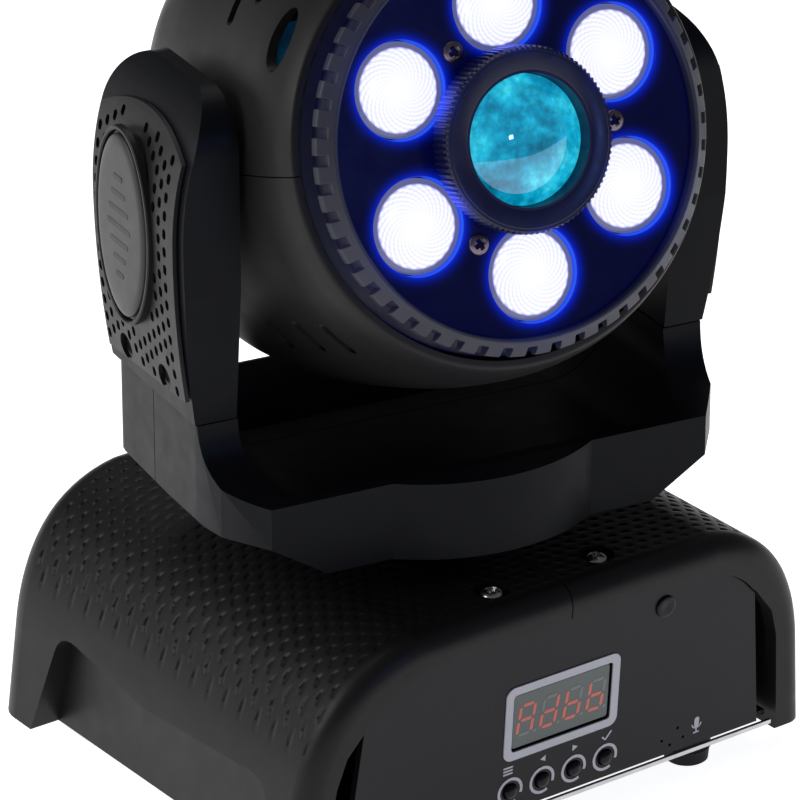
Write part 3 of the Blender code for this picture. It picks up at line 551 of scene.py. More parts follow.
def lamp_face():
    """The over-bright lens faces: the lamps' own glow, with painted light and shade on the facets read from
    the mesh's relief value (bright on raised facets, dimmer on sunken ones, dark on the rim).
    """
    made, tree, shader, _ = bare("lamp_lens", (0.1, 0.1, 0.16), 0.15)
    relief = tree.nodes.new("ShaderNodeAttribute")
    relief.attribute_name = "relief"
    tone = tinted(tree, relief.outputs["Fac"], (0.5, 0.52, 1.0), (0.96, 0.96, 1.0))
    tree.links.new(tone, shader.inputs["Emission Color"])
    strength = spread(tree, relief.outputs["Fac"], 0.0, 1.04, 0.0, 0.35)
    tree.links.new(strength, shader.inputs["Emission Strength"])
    return made


def coated_glass():
    """The front lens: teal coated glass with a painted glow in it, a mottled teal and blue emission that
    stands in for the lit optics seen through it.
    """
    made, tree, shader, where = bare("coated_glass", (0.004, 0.05, 0.07), 0.03, Coat_Weight=1.0,
                                     Coat_Roughness=0.02)
    # Painted glow: mottled emission in teal and blue, in place of the lit optics behind the glass.
    painted_glow_cloud = noise(tree, where, 9.0, 6.0, 0.62)
    tone = tree.nodes.new("ShaderNodeValToRGB")
    for position, colour in ((0.28, (0.0, 0.1, 0.19, 1)), (0.45, (0.0, 0.27, 0.47, 1)),
                             (0.58, (0.01, 0.48, 0.72, 1)), (0.75, (0.08, 0.85, 0.95, 1))):
        spot = tone.color_ramp.elements.new(position)
        spot.color = colour
    tone.color_ramp.elements.remove(tone.color_ramp.elements[0])
    tone.color_ramp.elements.remove(tone.color_ramp.elements[-1])
    tree.links.new(painted_glow_cloud, tone.inputs["Fac"])
    tree.links.new(tone.outputs["Color"], shader.inputs["Emission Color"])
    tree.links.new(spread(tree, noise(tree, where, 2.0), 0.7, 1.15), shader.inputs["Emission Strength"])
    return made


SATIN = (0.0076, 0.0072, 0.0076)
cover_black = moulded("cover_plastic", SATIN, 0.42, grain=0.5, depth=0.01)
yoke_black = moulded("yoke_plastic", (0.0042, 0.0046, 0.0064), 0.4, grain=0.4, depth=0.008, vary=0.1,
                     specular=0.08)
plate_black = moulded("side_plate_plastic", (0.0105, 0.01, 0.011), 0.42, grain=0.4, depth=0.008)
head_black = moulded("head_plastic", (0.0095, 0.0086, 0.0094), 0.44, grain=0.45, depth=0.01)
panel_black = moulded("panel_plastic", (0.0075, 0.0066, 0.0082), 0.3, grain=0.6, depth=0.005)
rear_black = moulded("rear_panel_paint", (0.012, 0.012, 0.013), 0.55, grain=0.9, depth=0.03)
rubber = moulded("foot_rubber", (0.008, 0.008, 0.0085), 0.72, grain=0.7, depth=0.03)
cap_black = moulded("button_plastic", (0.005, 0.005, 0.006), 0.3, grain=0.4, depth=0.004)
socket_black = moulded("socket_plastic", (0.006, 0.006, 0.0065), 0.35, grain=0.5, depth=0.006)
# The front ring, front plate, focus ring and lamp wells carry painted blue lamp glow; the wells also glow
# fairly strongly everywhere.
ring_grey = painted_glow_plastic("ring_plastic", (0.023, 0.023, 0.026), 0.42, (0.02, 0.06, 0.9), 0.1, 12.0, 26.0, 0.012,
                    Specular_IOR_Level=0.35)
front_black = painted_glow_plastic("front_plate_plastic", (0.002, 0.002, 0.004), 0.14, (0.0, 0.025, 0.95), 0.85, 11.3,
                      16.5, 0.025, Specular_IOR_Level=0.2)
focus_black = painted_glow_plastic("focus_plastic", (0.005, 0.005, 0.009), 0.3, (0.01, 0.05, 1.0), 1.6, 9.5, 16.5, 0.018,
                      Specular_IOR_Level=0.3)
well_blue = painted_glow_plastic("lamp_well", (0.01, 0.02, 0.2), 0.2, (0.02, 0.1, 1.0), 1.0, 8.0, 22.0, 0.5)
lamp_white = lamp_face()
glass = coated_glass()
silver_ink = moulded("silver_ink", (0.42, 0.42, 0.45), 0.4, grain=0.3, depth=0.004, vary=0.06)
white_ink = moulded("white_ink", (0.42, 0.42, 0.44), 0.5, grain=0.3, depth=0.004, vary=0.06)
badge_grey = moulded("badge_face", (0.034, 0.034, 0.035), 0.38, grain=0.5, depth=0.004)
emblem_dark = moulded("emblem_ink", (0.004, 0.004, 0.005), 0.35, grain=0.3, depth=0.003)
window_grey = moulded("display_acrylic", (0.06, 0.075, 0.068), 0.2, grain=0.8, depth=0.003, Coat_Weight=0.7)
digit_off = moulded("digit_unlit", (0.17, 0.19, 0.185), 0.4, grain=0.3, depth=0.003)
digit_on = moulded("digit_lit", (0.42, 0.12, 0.1), 0.4, grain=0.3, depth=0.003,
                   Emission_Color=(1.0, 0.2, 0.14, 1.0), Emission_Strength=0.12)
steel = brushed("screw_steel", (0.55, 0.53, 0.5), 0.24)
dark_steel = brushed("plate_screw_steel", (0.2, 0.16, 0.2), 0.34)
socket_metal = brushed("socket_metal", (0.42, 0.42, 0.43), 0.32)
bright_strip = brushed("chassis_edge_metal", (0.62, 0.62, 0.64), 0.3, along=(8.0, 1.0, 1.0))


# ---- base -----------------------------------------------------------------


def rim_reach(z, side):
    return HALF_DEPTH + (DEPTH_DRAFT * z if side < 0 else 0.0)


def cover_profile():
    """The right half of the cover seen from the front, from the centre seam down to the leg's bottom."""
    shoulder = bend(SHOULDER_END, SHOULDER_PULL, SHOULDER_START, 80)
    points = resampled([(SPLIT_GAP / 2, COVER_TOP), (20.0, COVER_TOP)] + shoulder, SCALE_MESH)
    side = resampled([SHOULDER_START, (LEG_HALF_X, -LEG_DROP)], 1.5)
    return np.vstack([points, side[1:]])


def across_polyline(x, y, line):
    """Distance of points in plan from a line of straight pieces."""
    best = np.full(x.shape, 1e9)
    for (ax, ay), (bx, by) in zip(line, line[1:]):
        dx, dy = bx - ax, by - ay
        t = np.clip(((x - ax) * dx + (y - ay) * dy) / (dx * dx + dy * dy), 0, 1)
        best = np.minimum(best, np.hypot(x - ax - t * dx, y - ay - t * dy))
    return best


def smooth_step(value, low, high):
    t = np.clip((value - low) / (high - low), 0, 1)
    return t * t * (3 - 2 * t)


def scale_relief(x, y, z):
    """Relief of the cover's dimples at plan points: each ramps down to a steep crescent at its rear."""
    depth = np.zeros(x.shape)
    row_near = np.floor(y / SCALE_PITCH[1])
    for row in (row_near - 1, row_near, row_near + 1, row_near + 2):
        shift = 0.5 * np.mod(row, 2)
        column = np.round(x / SCALE_PITCH[0] - shift)
        for step in (-1, 0, 1):
            dx = x - (column + step + shift) * SCALE_PITCH[0]
            dy = y - row * SCALE_PITCH[1]
            reach = np.hypot(dx / SCALE_SIZE[0], dy / SCALE_SIZE[1])
            fall = np.clip(0.3 + 0.7 * (0.2 * dx + 0.98 * dy) / SCALE_SIZE[1], 0, 1)
            depth = np.maximum(depth, smooth_step(1 - reach, 0.0, 0.24) * fall)
    low = smooth_step(z, SCALE_LOW_Z, SCALE_LOW_Z + 4.0)
    front = smooth_step(y + rim_reach(COVER_TOP, -1), 6.0, 8.5)
    back = smooth_step(HALF_DEPTH - y, 8.0, 10.5)
    seam = smooth_step(x, 1.2, 2.2)
    return -SCALE_DEPTH * depth * low * front * back * seam


def rounding(radius, steps=8):
    """(inset from the surface, distance from the end) along a rounded edge, from the end inwards."""
    angles = [math.pi / 2 * step / steps for step in range(steps)]
    return [(radius * (1 - math.sin(a)), radius * (1 - math.cos(a))) for a in angles]


def make_cover(name, side):
    profile = cover_profile()
    tangent = np.gradient(profile, axis=0)
    tangent /= np.linalg.norm(tangent, axis=1)[:, None]
    normal = np.stack([-tangent[:, 1], tangent[:, 0]], axis=1)
    normal *= np.sign(normal[:, 1:2] + normal[:, :1])
    rings = []

    def add_ring(y, inset, relief):
        out = profile + normal * (relief - inset)[:, None]
        out[:, 1] = np.maximum(out[:, 1], -LEG_DROP)
        out[0, 0] = SPLIT_GAP / 2
        ring = [(x, v, z) for (x, z), v in zip(out, y)]
        rings.append(ring + [(SPLIT_GAP / 2, ring[-1][1], -LEG_DROP)])

    x, z = profile.T
    none = np.zeros(len(profile))
    for inset, back in rounding(RIM_ROUND):
        add_ring(-(rim_reach(z - inset, -1) - back), none + inset, none)
    first = -(rim_reach(z, -1) - RIM_ROUND)
    last = HALF_DEPTH - REAR_ROUND
    stations = round((last + HALF_DEPTH) / SCALE_MESH)
    for i in range(stations + 1):
        y = first + (last - first) * i / stations
        relief = scale_relief(x, y, z)
        if side < 0:
            groove = across_polyline(x, y, HINGE_LINE)
            relief = relief - HINGE_DEPTH * (1 - smooth_step(groove, 0.25, 0.6))
        add_ring(y, none, relief)
    for inset, back in reversed(rounding(REAR_ROUND)):
        add_ring(none + HALF_DEPTH - back, none + inset, none)
    body = loft(rings)

    inner_x = SKIRT_X - COVER_WALL
    vault = [(20.0, COVER_TOP - COVER_WALL)] + bend(SHOULDER_END, SHOULDER_PULL, SHOULDER_START, 12)
    vault = [(px - 1.2, pz - COVER_WALL) for px, pz in vault if px < inner_x + 1]
    outline = [(-5.0, -12.0), (inner_x, -12.0), (inner_x, 38.0)] + vault[::-1]
    outline.append((-5.0, COVER_TOP - COVER_WALL))
    ends = [[(px, end * (rim_reach(pz, end) - RIM_LIP), pz) for px, pz in outline] for end in (-1, 1)]
    tools = [loft(ends)]
    tools.append(prism(opening_outline(), -90, 90, "Y"))
    tools.append(prism(notch_outline(), SKIRT_X, 95.0, "X"))
    tools.append(rod(PAN_HOLE_R, 40, 80, sides=96))
    tools.append(rod(SCREW_SINK_R, COVER_TOP - SCREW_SINK, 80, at=(*SCREW_AT, 0), sides=64))
    tools.append(rod(SCREW_HOLE_R, 40, 80, at=(*SCREW_AT, 0), sides=24))
    piece(name, cut(body, *tools), cover_black, "base", stands_for=name, mirror=side < 0,
          smooth=38.0)


def opening_outline():
    right = [(72.2, -20.0), (72.2, 0.0), (69.0, 26.0), (66.5, 34.0), (60.5, 41.5)]
    right += bend((59.0, 42.8), (52.0, 52.0), (34.0, PANEL_TOP + 0.4), 16)
    return both_sides(right)


def notch_outline():
    """The side cut-away between the legs, seen from the side (y, z)."""
    rear = [(49.2, -LEG_DROP - 2), (41.8, 19.0)]
    rear += bend((41.0, 21.5), (39.2, CREASE_Z + 2.5), (32.0, CREASE_Z + 1.5), 12)
    front = bend((-45.0, CREASE_Z), (-51.5, CREASE_Z), (-53.0, 19.0), 12)
    return rear + [(0.0, CREASE_Z - 2.5)] + front + [(-55.5, -LEG_DROP - 2)]


def panel_outline():
    right = [(65.3, 1.2), (61.0, 40.5)]
    right += bend((59.0, 42.5), (52.0, 51.6), (34.0, PANEL_TOP), 16)
    return both_sides(right)


def button_x(i):
    return (i - 1.5) * BUTTON_PITCH


def make_panel():
    window = prism(rounded_box(DISPLAY_W / 2, DISPLAY_H / 2, 0.8, (0, DISPLAY_Z)), -3, 5, "Y")
    holes = [rod(BUTTON_R + 0.4, -4, 5, "Y", (button_x(i), 0, BUTTON_Z)) for i in range(4)]
    holes.append(rod(2.3, -4, 5, "Y", (PLUG_X, 0, PLUG_Z)))
    for x, z in ((36.4, 3.6), (38.6, 7.9), (33.6, 5.6), (40.6, 4.6)):
        holes.append(rod(0.45, -4, 0.8, "Y", (x, 0, z), 16))
    piece("control_panel", cut(prism(panel_outline(), 0, 2.0, "Y"), window, *holes), panel_black, "base",
          PANEL, "control_panel", bevel=0.25)


def inlay(name, outlines, finish, where=PANEL, height=0.1):
    """Printed marks that stand height proud of the panel."""
    marks = joined([prism(outline, -height, INK_SUNK, "Y") for outline in outlines])
    piece(name, marks, finish, "base", where)


def stroke(line, width):
    """An outline of the given width round an open line."""
    points = [Vector(p) for p in line]
    left, right = [], []
    for i, here in enumerate(points):
        a, b = points[max(i - 1, 0)], points[min(i + 1, len(points) - 1)]
        along = (b - a).normalized()
        out = Vector((-along.y, along.x)) * width / 2
        left.append(tuple(here + out))
        right.append(tuple(here - out))
    return left + right[::-1]


def make_print():
    frame_out = rounded_box(35.7 / 2, 21.1 / 2, 2.6, (0, DISPLAY_Z), 10)
    frame_in = rounded_box(DISPLAY_W / 2 + 0.2, DISPLAY_H / 2 + 0.2, 1.0, (0, DISPLAY_Z))
    piece("display_border", cut(prism(frame_out, -0.35, 0.1, "Y"), prism(frame_in, -2, 2, "Y")),
          silver_ink, "base", PANEL, bevel=0.12)
    rings = [stroke(arc((button_x(i), BUTTON_Z), 3.5, -20, 300, 48), 0.8) for i in range(4)]
    inlay("button_rings", rings, silver_ink, height=0.15)
    z = BUTTON_Z + 6.2
    marks = [rounded_box(1.5, 0.25, 0.2, (button_x(0) - 1.0, z + k), 2) for k in (-0.9, 0.0, 0.9)]
    marks.append([(button_x(1) - 0.9, z), (button_x(1) + 0.7, z + 0.9), (button_x(1) + 0.7, z - 0.9)][::-1])
    marks.append([(button_x(2) + 0.9, z), (button_x(2) - 0.7, z + 0.9), (button_x(2) - 0.7, z - 0.9)])
    x = button_x(3)
    marks.append(stroke([(x - 1.3, z), (x - 0.3, z - 1.0), (x + 1.6, z + 1.1)], 0.5))
    mic = (44.8, 6.7)
    marks.append(rounded_box(0.75, 1.5, 0.74, (mic[0], mic[1] + 1.0), 8))
    marks.append(stroke(arc((mic[0], mic[1] + 0.8), 1.5, 190, 350, 16), 0.4))
    marks.append(rounded_box(0.2, 0.6, 0.15, (mic[0], mic[1] - 1.3), 2))
    marks.append(rounded_box(1.0, 0.2, 0.15, (mic[0], mic[1] - 2.0), 2))
    inlay("panel_marks", marks, white_ink)
    edge = box((-70.0, 70.0), (-0.35, 0.5), (-0.9, 0.4))
    piece("chassis_edge", edge, bright_strip, "base", PANEL, bevel=0.15)


SEGMENTS = {  # name: (centre x, centre z, upright)
    "a": (0, 4.1, False), "b": (2.2, 2.05, True), "c": (2.2, -2.05, True), "d": (0, -4.1, False),
    "e": (-2.2, -2.05, True), "f": (-2.2, 2.05, True), "g": (0, 0, False),
}
READOUT = ("abcefg", "bcdeg", "cdefg", "cdefg")
DIGIT_PITCH = 7.3
DIGIT_SLANT = 0.14


def segment(digit, name):
    """The hexagon of one segment."""
    cx, cz, upright = SEGMENTS[name]
    half, tip = 1.75, 0.45
    flat = half - tip
    shape = [(-half, 0), (-flat, -tip), (flat, -tip), (half, 0), (flat, tip), (-flat, tip)]
    if upright:
        shape = [(-b, a) for a, b in shape]
    centre = (digit - 1.5) * DIGIT_PITCH
    return [(centre + cx + a + (cz + b) * DIGIT_SLANT, DISPLAY_Z + cz + b) for a, b in shape]


def make_display():
    half_w, half_h = DISPLAY_W / 2 - SPLIT_GAP, DISPLAY_H / 2 - SPLIT_GAP
    pane = prism(rounded_box(half_w, half_h, 0.8, (0, DISPLAY_Z)), 0.3, 1.5, "Y")
    piece("display_window", pane, window_grey, "base", PANEL, "display_window", bevel=0.2)
    lit, unlit = [], []
    for digit, shown in enumerate(READOUT):
        for name in SEGMENTS:
            (lit if name in shown else unlit).append(segment(digit, name))
        dot = ((digit - 1.5) * DIGIT_PITCH + 2.9, DISPLAY_Z - 4.2)
        unlit.append(arc(dot, 0.5, 0, 330, 11))
    face = PANEL @ Matrix.Translation((0, 0.3, 0))
    inlay("digits_lit", lit, digit_on, face, 0.05)
    inlay("digits_unlit", unlit, digit_off, face, 0.05)


def make_buttons():
    for i in range(4):
        cap = [(0.0, -1.55), (0.7, -1.5), (1.25, -1.35), (1.65, -1.05), (BUTTON_R, -0.6), (BUTTON_R, 2.3),
               (2.9, 2.3), (2.9, 3.1), (0.0, 3.1)]
        name = f"button_{i + 1}"
        piece(name + "_cap", turned(cap, "Y", 48, (button_x(i), 0, BUTTON_Z)), cap_black, name, PANEL, name)
    plug = [(0.0, -0.55), (0.6, -0.6), (2.0, -0.8), (2.5, -0.8), (2.85, -0.6), (PLUG_R, -0.3),
            (PLUG_R, -0.05), (2.0, -0.05), (2.0, 3.2), (0.0, 3.2)]
    piece("blanking_cap", turned(plug, "Y", 48, (PLUG_X, 0, PLUG_Z)), cap_black, "base", PANEL,
          "blanking_plug")


def rectangle(half_x, half_y, z):
    return [(-half_x, -half_y, z), (half_x, -half_y, z), (half_x, half_y, z), (-half_x, half_y, z)]


def phillips(radius, rise, shank):
    """A pan-head screw with a cross recess, its head's underside at z = 0 and its axis up."""
    thread = radius * 0.48
    profile = [(0.0, -shank), (thread, -shank), (thread, -0.4), (radius * 0.94, -0.4), (radius, -0.1)]
    profile += [(radius * math.cos(t), rise * math.sin(t)) for t in np.linspace(0.25, math.pi / 2 - 0.05, 8)]
    profile.append((0.0, rise))
    head = turned(profile, "Z", 48)
    slots = []
    for turn in (0, 90):
        blade = loft([rectangle(0.17 * radius, 0.28 * radius, rise - 1.2),
                      rectangle(0.24 * radius, 0.68 * radius, rise + 0.2)])
        slots.append(moved(blade, Matrix.Rotation(math.radians(turn + 25), 4, "Z")))
    return cut(head, *slots)


def make_base_trim():
    for name, x in (("left", -1), ("right", 1)):
        place = Matrix.Translation((x * SCREW_AT[0], SCREW_AT[1], COVER_TOP - 1.5))
        piece(f"cover_screw_head_{name}", phillips(3.0, 1.7, 12.0), steel, "base", place,
              f"cover_screw_{name}", smooth=30.0)
    for name, x, y in (("front_left", -52, -54), ("front_right", 52, -54),
                       ("rear_left", -52, 54), ("rear_right", 52, 54)):
        foot = [(0.0, -9.6), (3.6, -9.6), (4.0, -10.0), (5.2, -10.0), (5.7, -9.6), (6.0, -6.4), (6.3, -6.0),
                (6.1, -5.6), (6.6, -0.8), (6.2, -0.3), (0.0, -0.3)]
        piece(f"foot_{name}_rubber", turned(foot, "Z", 64, (x, y, 0)), rubber, "base",
              stands_for=f"foot_{name}")


def make_rear():
    panel = prism(panel_outline(), -2.0, 0, "Y")
    holes = [box((-50.2, -21.8), (-6, 6), (SOCKET_Z - 10.2, SOCKET_Z + 10.2))]
    holes += [rod(DMX_R + 0.4, -6, 6, "Y", (x, 0, SOCKET_Z)) for x in (5.0, 38.0)]
    holes.append(rod(5.3, -6, 6, "Y", (FUSE_X, 0, FUSE_Z)))
    piece("rear_panel_sheet", cut(panel, *holes), rear_black, "base", REAR, "rear_panel", bevel=0.3)
    flange = prism(rounded_box(17.0, 12.0, 2.0, (-36, SOCKET_Z)), 0.05, 1.6, "Y")
    shell = carve(flange, ("UNION", box((-49.5, -22.5), (-16, 0.6), (SOCKET_Z - 9.5, SOCKET_Z + 9.5))))
    hollow = [(-47.5, -6.5), (-24.5, -6.5), (-24.5, 3.0), (-28.5, 6.5), (-43.5, 6.5), (-47.5, 3.0)]
    hollow = prism([(x, z + SOCKET_Z) for x, z in hollow], -13, 6, "Y")
    piece("power_inlet_shell", cut(shell, hollow), socket_black, "base", REAR, "power_inlet", bevel=0.4)
    pins = joined([box((x - 1, x + 1), (-14, -3), (SOCKET_Z - 2.2, SOCKET_Z + 2.2)) for x in (-42, -36, -30)])
    piece("power_inlet_pins", pins, socket_metal, "base", REAR, bevel=0.4)
    for name, x, male in (("signal_in", 5.0, True), ("signal_out", 38.0, False)):
        body = [(0.0, -14.0), (DMX_R, -14.0), (DMX_R, 0.1), (13.0, 0.1), (13.0, 1.1), (12.4, 1.5),
                (10.4, 1.5), (9.6, 0.9), (9.0, 0.9), (9.0, -11.0), (0.0, -11.0)]
        piece(name + "_shell", turned(body, "Y", 96, (x, 0, SOCKET_Z)), socket_metal, "base", REAR, name)
        contacts = [(cx, 0, cz) for cx, cz in arc((x, SOCKET_Z), CONTACT_CIRCLE, 90, 330, 2)]
        if male:
            pins = [rod(1.25, -11.5, -2.0, "Y", at, 24) for at in contacts]
            piece(name + "_pins", joined(pins), socket_metal, "base", REAR, bevel=0.3)
        else:
            core = rod(8.2, -11.5, -0.8, "Y", (x, 0, SOCKET_Z))
            core = cut(core, *[rod(1.5, -8, 2, "Y", at, 24) for at in contacts])
            piece(name + "_insert", core, socket_black, "base", REAR, bevel=0.3)
    fuse = [(0.0, -14.0), (5.0, -14.0), (5.0, 0.1), (6.5, 0.1), (6.5, 1.2), (5.6, 1.5), (5.4, 3.6),
            (5.0, 4.0), (0.0, 4.0)]
    holder = turned(fuse, "Y", 64, (FUSE_X, 0, FUSE_Z))
    slot_cut = box((FUSE_X - 4, FUSE_X + 4), (3.0, 6.0), (FUSE_Z - 0.6, FUSE_Z + 0.6))
    piece("fuse_cap", cut(holder, slot_cut), cap_black, "base", REAR, "fuse_holder")


# ---- yoke -----------------------------------------------------------------


def arm_outer(z):
    """The arm's outer half width at a height."""
    if z <= ARM_BULGE_Z:
        return ARM_OUTER - 4.0 * ((ARM_BULGE_Z - z) / (ARM_BULGE_Z - ARM_SEAM_Z)) ** 2
    rise = (z - ARM_BULGE_Z) / (ARM_TOP + 2.5 - ARM_BULGE_Z)
    return ARM_INNER - 2 + (ARM_OUTER - ARM_INNER + 2) * math.sqrt(max(0.0, 1 - rise**2))


def arm_front_outline(low, high, outward=0.0, thick=None):
    heights = [low + (high - low) * i / 56 for i in range(57)]
    outer = [(arm_outer(z) + outward, z) for z in heights]
    if thick is None:
        return outer + [(ARM_INNER, high), (ARM_INNER, low)]
    return outer + [(x - thick, z) for x, z in reversed(outer)]


def arm_side_outline():
    outline = [(ARM_FRONT + 3.5, ARM_SEAM_Z + SPLIT_GAP), (ARM_REAR, ARM_SEAM_Z + SPLIT_GAP)]
    for middle, start in ((ARM_REAR - ARM_CORNER, 0), (ARM_FRONT + ARM_CORNER, 90)):
        outline += arc((middle, ARM_TOP - ARM_CORNER), ARM_CORNER, start, start + 90, 24)
    return outline + [(ARM_FRONT, ARM_SEAM_Z + 35)]


def plate_holes():
    """Outlines of the side plate's holes, in staggered columns clear of its edges, badge and screws."""
    holes = []
    for row in range(20):
        for column in range(16):
            y = -29.0 + HOLE_PITCH[0] * column
            z = 111.0 + HOLE_PITCH[1] * (row + 0.5 * (column % 2))
            in_arc = math.hypot(y - PLATE_ARC[0], z - PLATE_ARC[1]) < 43.6
            inside = PLATE_FRONT + HOLE_MARGIN < y < PLATE_REAR - HOLE_MARGIN and z > 113.2
            badge = ((y - BADGE_Y) / (BADGE_W / 2 + 2.9)) ** 2 + ((z - BADGE_Z) / (BADGE_H / 2 + 3.2)) ** 2
            near = min(math.hypot(y - sy, z - sz) for sy, sz in PLATE_SCREWS)
            if in_arc and inside and badge > 1 and near > PLATE_SCREW_R + 2.0:
                circle = arc((y, z), 1.0, 0, 330, 11)
                middle = sum(point[1] for point in circle) / len(circle)
                holes.append([(a, b + math.copysign(HOLE_STRETCH, b - middle)) for a, b in circle])
    return holes


def make_arm(name, mirror):
    arm = carve(prism(arm_side_outline(), ARM_INNER, 85, "X"),
                ("INTERSECT", prism(arm_front_outline(90, ARM_TOP + 1.0), -60, 60, "Y")),
                ("DIFFERENCE", rod(PIN_R + 0.5, ARM_INNER - 5, ARM_INNER + 5, "X", TILT_AXIS)))
    piece(f"arm_{name}", arm, yoke_black, "yoke", PAN, f"arm_cover_{name}", bevel=1.8, segments=5,
          mirror=mirror)

    outline = [(PLATE_FRONT, 112.0), (PLATE_REAR, 109.5)] + arc(PLATE_ARC, 46.0, 60.0, 121.0, 32)
    cutter = joined([prism(hole, 60, 90, "X") for hole in plate_holes()])
    skin = arm_front_outline(100, 186, SPLIT_GAP + PLATE_THICK, PLATE_THICK)
    plate = carve(prism(outline, 60, 90, "X"),
                  ("INTERSECT", prism(skin, -60, 60, "Y")),
                  ("DIFFERENCE", cutter),
                  *[("DIFFERENCE", rod(PLATE_SCREW_R, 60, 90, "X", (0, y, z))) for y, z in PLATE_SCREWS])
    piece(f"side_cover_{name}", plate, plate_black, "yoke", PAN, f"side_plate_{name}", bevel=0.22, segments=2,
          mirror=mirror)


def oval(y_radius, z_radius, x, steps=96):
    return [(x, BADGE_Y + y_radius * math.cos(2 * math.pi * i / steps),
             BADGE_Z + z_radius * math.sin(2 * math.pi * i / steps)) for i in range(steps)]


def make_badge(name, mirror):
    face = arm_outer(BADGE_Z) + SPLIT_GAP + PLATE_THICK
    half_y, half_z = BADGE_W / 2, BADGE_H / 2
    dome = [oval(half_y, half_z, face + 0.2)]
    for step in range(10):
        t = math.pi / 2 * step / 9
        scale = 0.86 + 0.14 * math.cos(t) if step < 9 else 0.8
        dome.append(oval(half_y * scale, half_z * scale, face + 0.7 + 1.0 * math.sin(t)))
    dome.append(oval(half_y * 0.5, half_z * 0.5, face + 1.86))
    piece(f"badge_dome_{name}", loft(dome), badge_grey, "yoke", PAN, f"badge_{name}", mirror=mirror)
    rim = []
    for outset, rise in ((0.9, -0.6), (0.9, 0.9), (1.2, 1.2), (1.8, 1.2), (2.1, 0.9), (2.1, -0.6)):
        rim.append(oval(half_y + outset, half_z + outset, face + rise))
    piece(f"badge_rim_{name}", loft(rim, closed=True), plate_black, "yoke", PAN, mirror=mirror)
    bars = []
    for k, reach in enumerate((2.2, 3.6, 5.2, 6.6, 5.6, 4.0, 2.6)):
        z = BADGE_Z + (k - 3) * 4.2
        bars.append(prism(rounded_box(reach, 0.7, 0.65, (BADGE_Y, z), 4), face + 1.6, face + 1.92, "X"))
    piece(f"badge_emblem_{name}", joined(bars), emblem_dark, "yoke", PAN, mirror=mirror)


def yoke_plan():
    bulge = math.degrees(math.acos(27.5 / BULGE_R))
    front = arc((0, BULGE_Y), BULGE_R, -180 + bulge, -bulge, 48)
    right = [(LIP_HALF, LIP_Y), (68.0, -39.0), (YOKE_HALF, -29.0), (YOKE_HALF - 1.5, YOKE_REAR - 6)]
    right += arc((YOKE_HALF - 7.5, YOKE_REAR - 6), 6.0, 20, 90, 10)
    left = [(-x, y) for x, y in reversed(right)]
    return left + front + right


def yoke_front_view():
    outer = YOKE_HALF + 2
    right = [(45.0, YOKE_BOTTOM), (60.0, 78.5), (69.4, 79.0), (outer, 84.0), (outer, ARM_SEAM_Z)]
    return both_sides(right)


def yoke_side_view():
    ramp = bend((-30.0, ARM_SEAM_Z), (-30.8, LIP_Z + 1), (LIP_Y, LIP_Z), 24)
    heel = [(-62.0, YOKE_BOTTOM), (14.0, YOKE_BOTTOM)]
    heel += bend((17.0, 75.0), (YOKE_REAR, 82.0), (YOKE_REAR + 0.5, 96.0), 12)
    return heel + [(YOKE_REAR - 1.0, ARM_SEAM_Z)] + ramp + [(-62.0, LIP_Z)]


def trough():
    corner = (ARM_INNER - 0.3 - TROUGH_CORNER, TROUGH_FLOOR + TROUGH_CORNER)
    right = arc(corner, TROUGH_CORNER, -90, 0, 24) + [(ARM_INNER - 0.3, 140.0)]
    hollow = prism(both_sides(right), -47.8, YOKE_REAR + 30, "Y")
    rise = [(2.0, 60.0), (2.0, TROUGH_FLOOR)] + bend((5.0, TROUGH_FLOOR), (12.0, TROUGH_FLOOR + 4.0),
                                                     (YOKE_REAR - 1, TROUGH_FLOOR + 10.4), 12)
    return cut(hollow, prism(rise + [(60.0, TROUGH_FLOOR + 10.4), (60.0, 60.0)], -100, 100, "X"))


def make_lower_yoke():
    seam = SPLIT_GAP / 2
    for name, low, high in (("front", -120, YOKE_SEAM_Y - seam), ("rear", YOKE_SEAM_Y + seam, 120)):
        cover = carve(
            prism(yoke_plan(), YOKE_BOTTOM - 5, ARM_SEAM_Z, "Z"),
            ("INTERSECT", box((-120, 120), (low, high), (0, 200))),
            ("INTERSECT", prism(yoke_side_view(), -90, 90, "X")),
            ("INTERSECT", prism(yoke_front_view(), -90, 90, "Y")),
            ("DIFFERENCE", trough()),
        )
        piece(f"yoke_{name}", cover, yoke_black, "yoke", PAN, f"yoke_{name}_cover", bevel=0.7, segments=3)
    disc = [(12.0, 59.0), (20.2, 59.0), (20.2, 61.2), (19.6, 61.6), (18.2, 61.8), (18.0, 62.4), (18.0, 68.6),
            (12.0, 68.6)]
    piece("pan_shaft_disc", turned(disc, "Z", 128), plate_black, "yoke", PAN)


# ---- head -----------------------------------------------------------------


def head_station(y):
    """Half width, half height and squareness of the head at y, smoothly between the sections."""
    ys = [section[0] for section in HEAD_SECTIONS]
    k = min(max(sum(y >= v for v in ys) - 1, 0), len(ys) - 2)
    t = (y - ys[k]) / (ys[k + 1] - ys[k])
    values = []
    for column in (1, 2, 3):
        here = [section[column] for section in HEAD_SECTIONS]
        slopes = [(here[i + 1] - here[i]) / (ys[i + 1] - ys[i]) for i in range(len(ys) - 1)]
        ends = []
        for i in (k, k + 1):
            if i in (0, len(ys) - 1):
                ends.append(slopes[min(i, len(slopes) - 1)])
            elif slopes[i - 1] * slopes[i] <= 0:
                ends.append(0.0)
            else:
                ends.append(2 * slopes[i - 1] * slopes[i] / (slopes[i - 1] + slopes[i]))
        step = ys[k + 1] - ys[k]
        a, b = here[k], here[k + 1]
        value = ((2 * t**3 - 3 * t**2 + 1) * a + (t**3 - 2 * t**2 + t) * step * ends[0]
                 + (-2 * t**3 + 3 * t**2) * b + (t**3 - t**2) * step * ends[1])
        values.append(value)
    return values


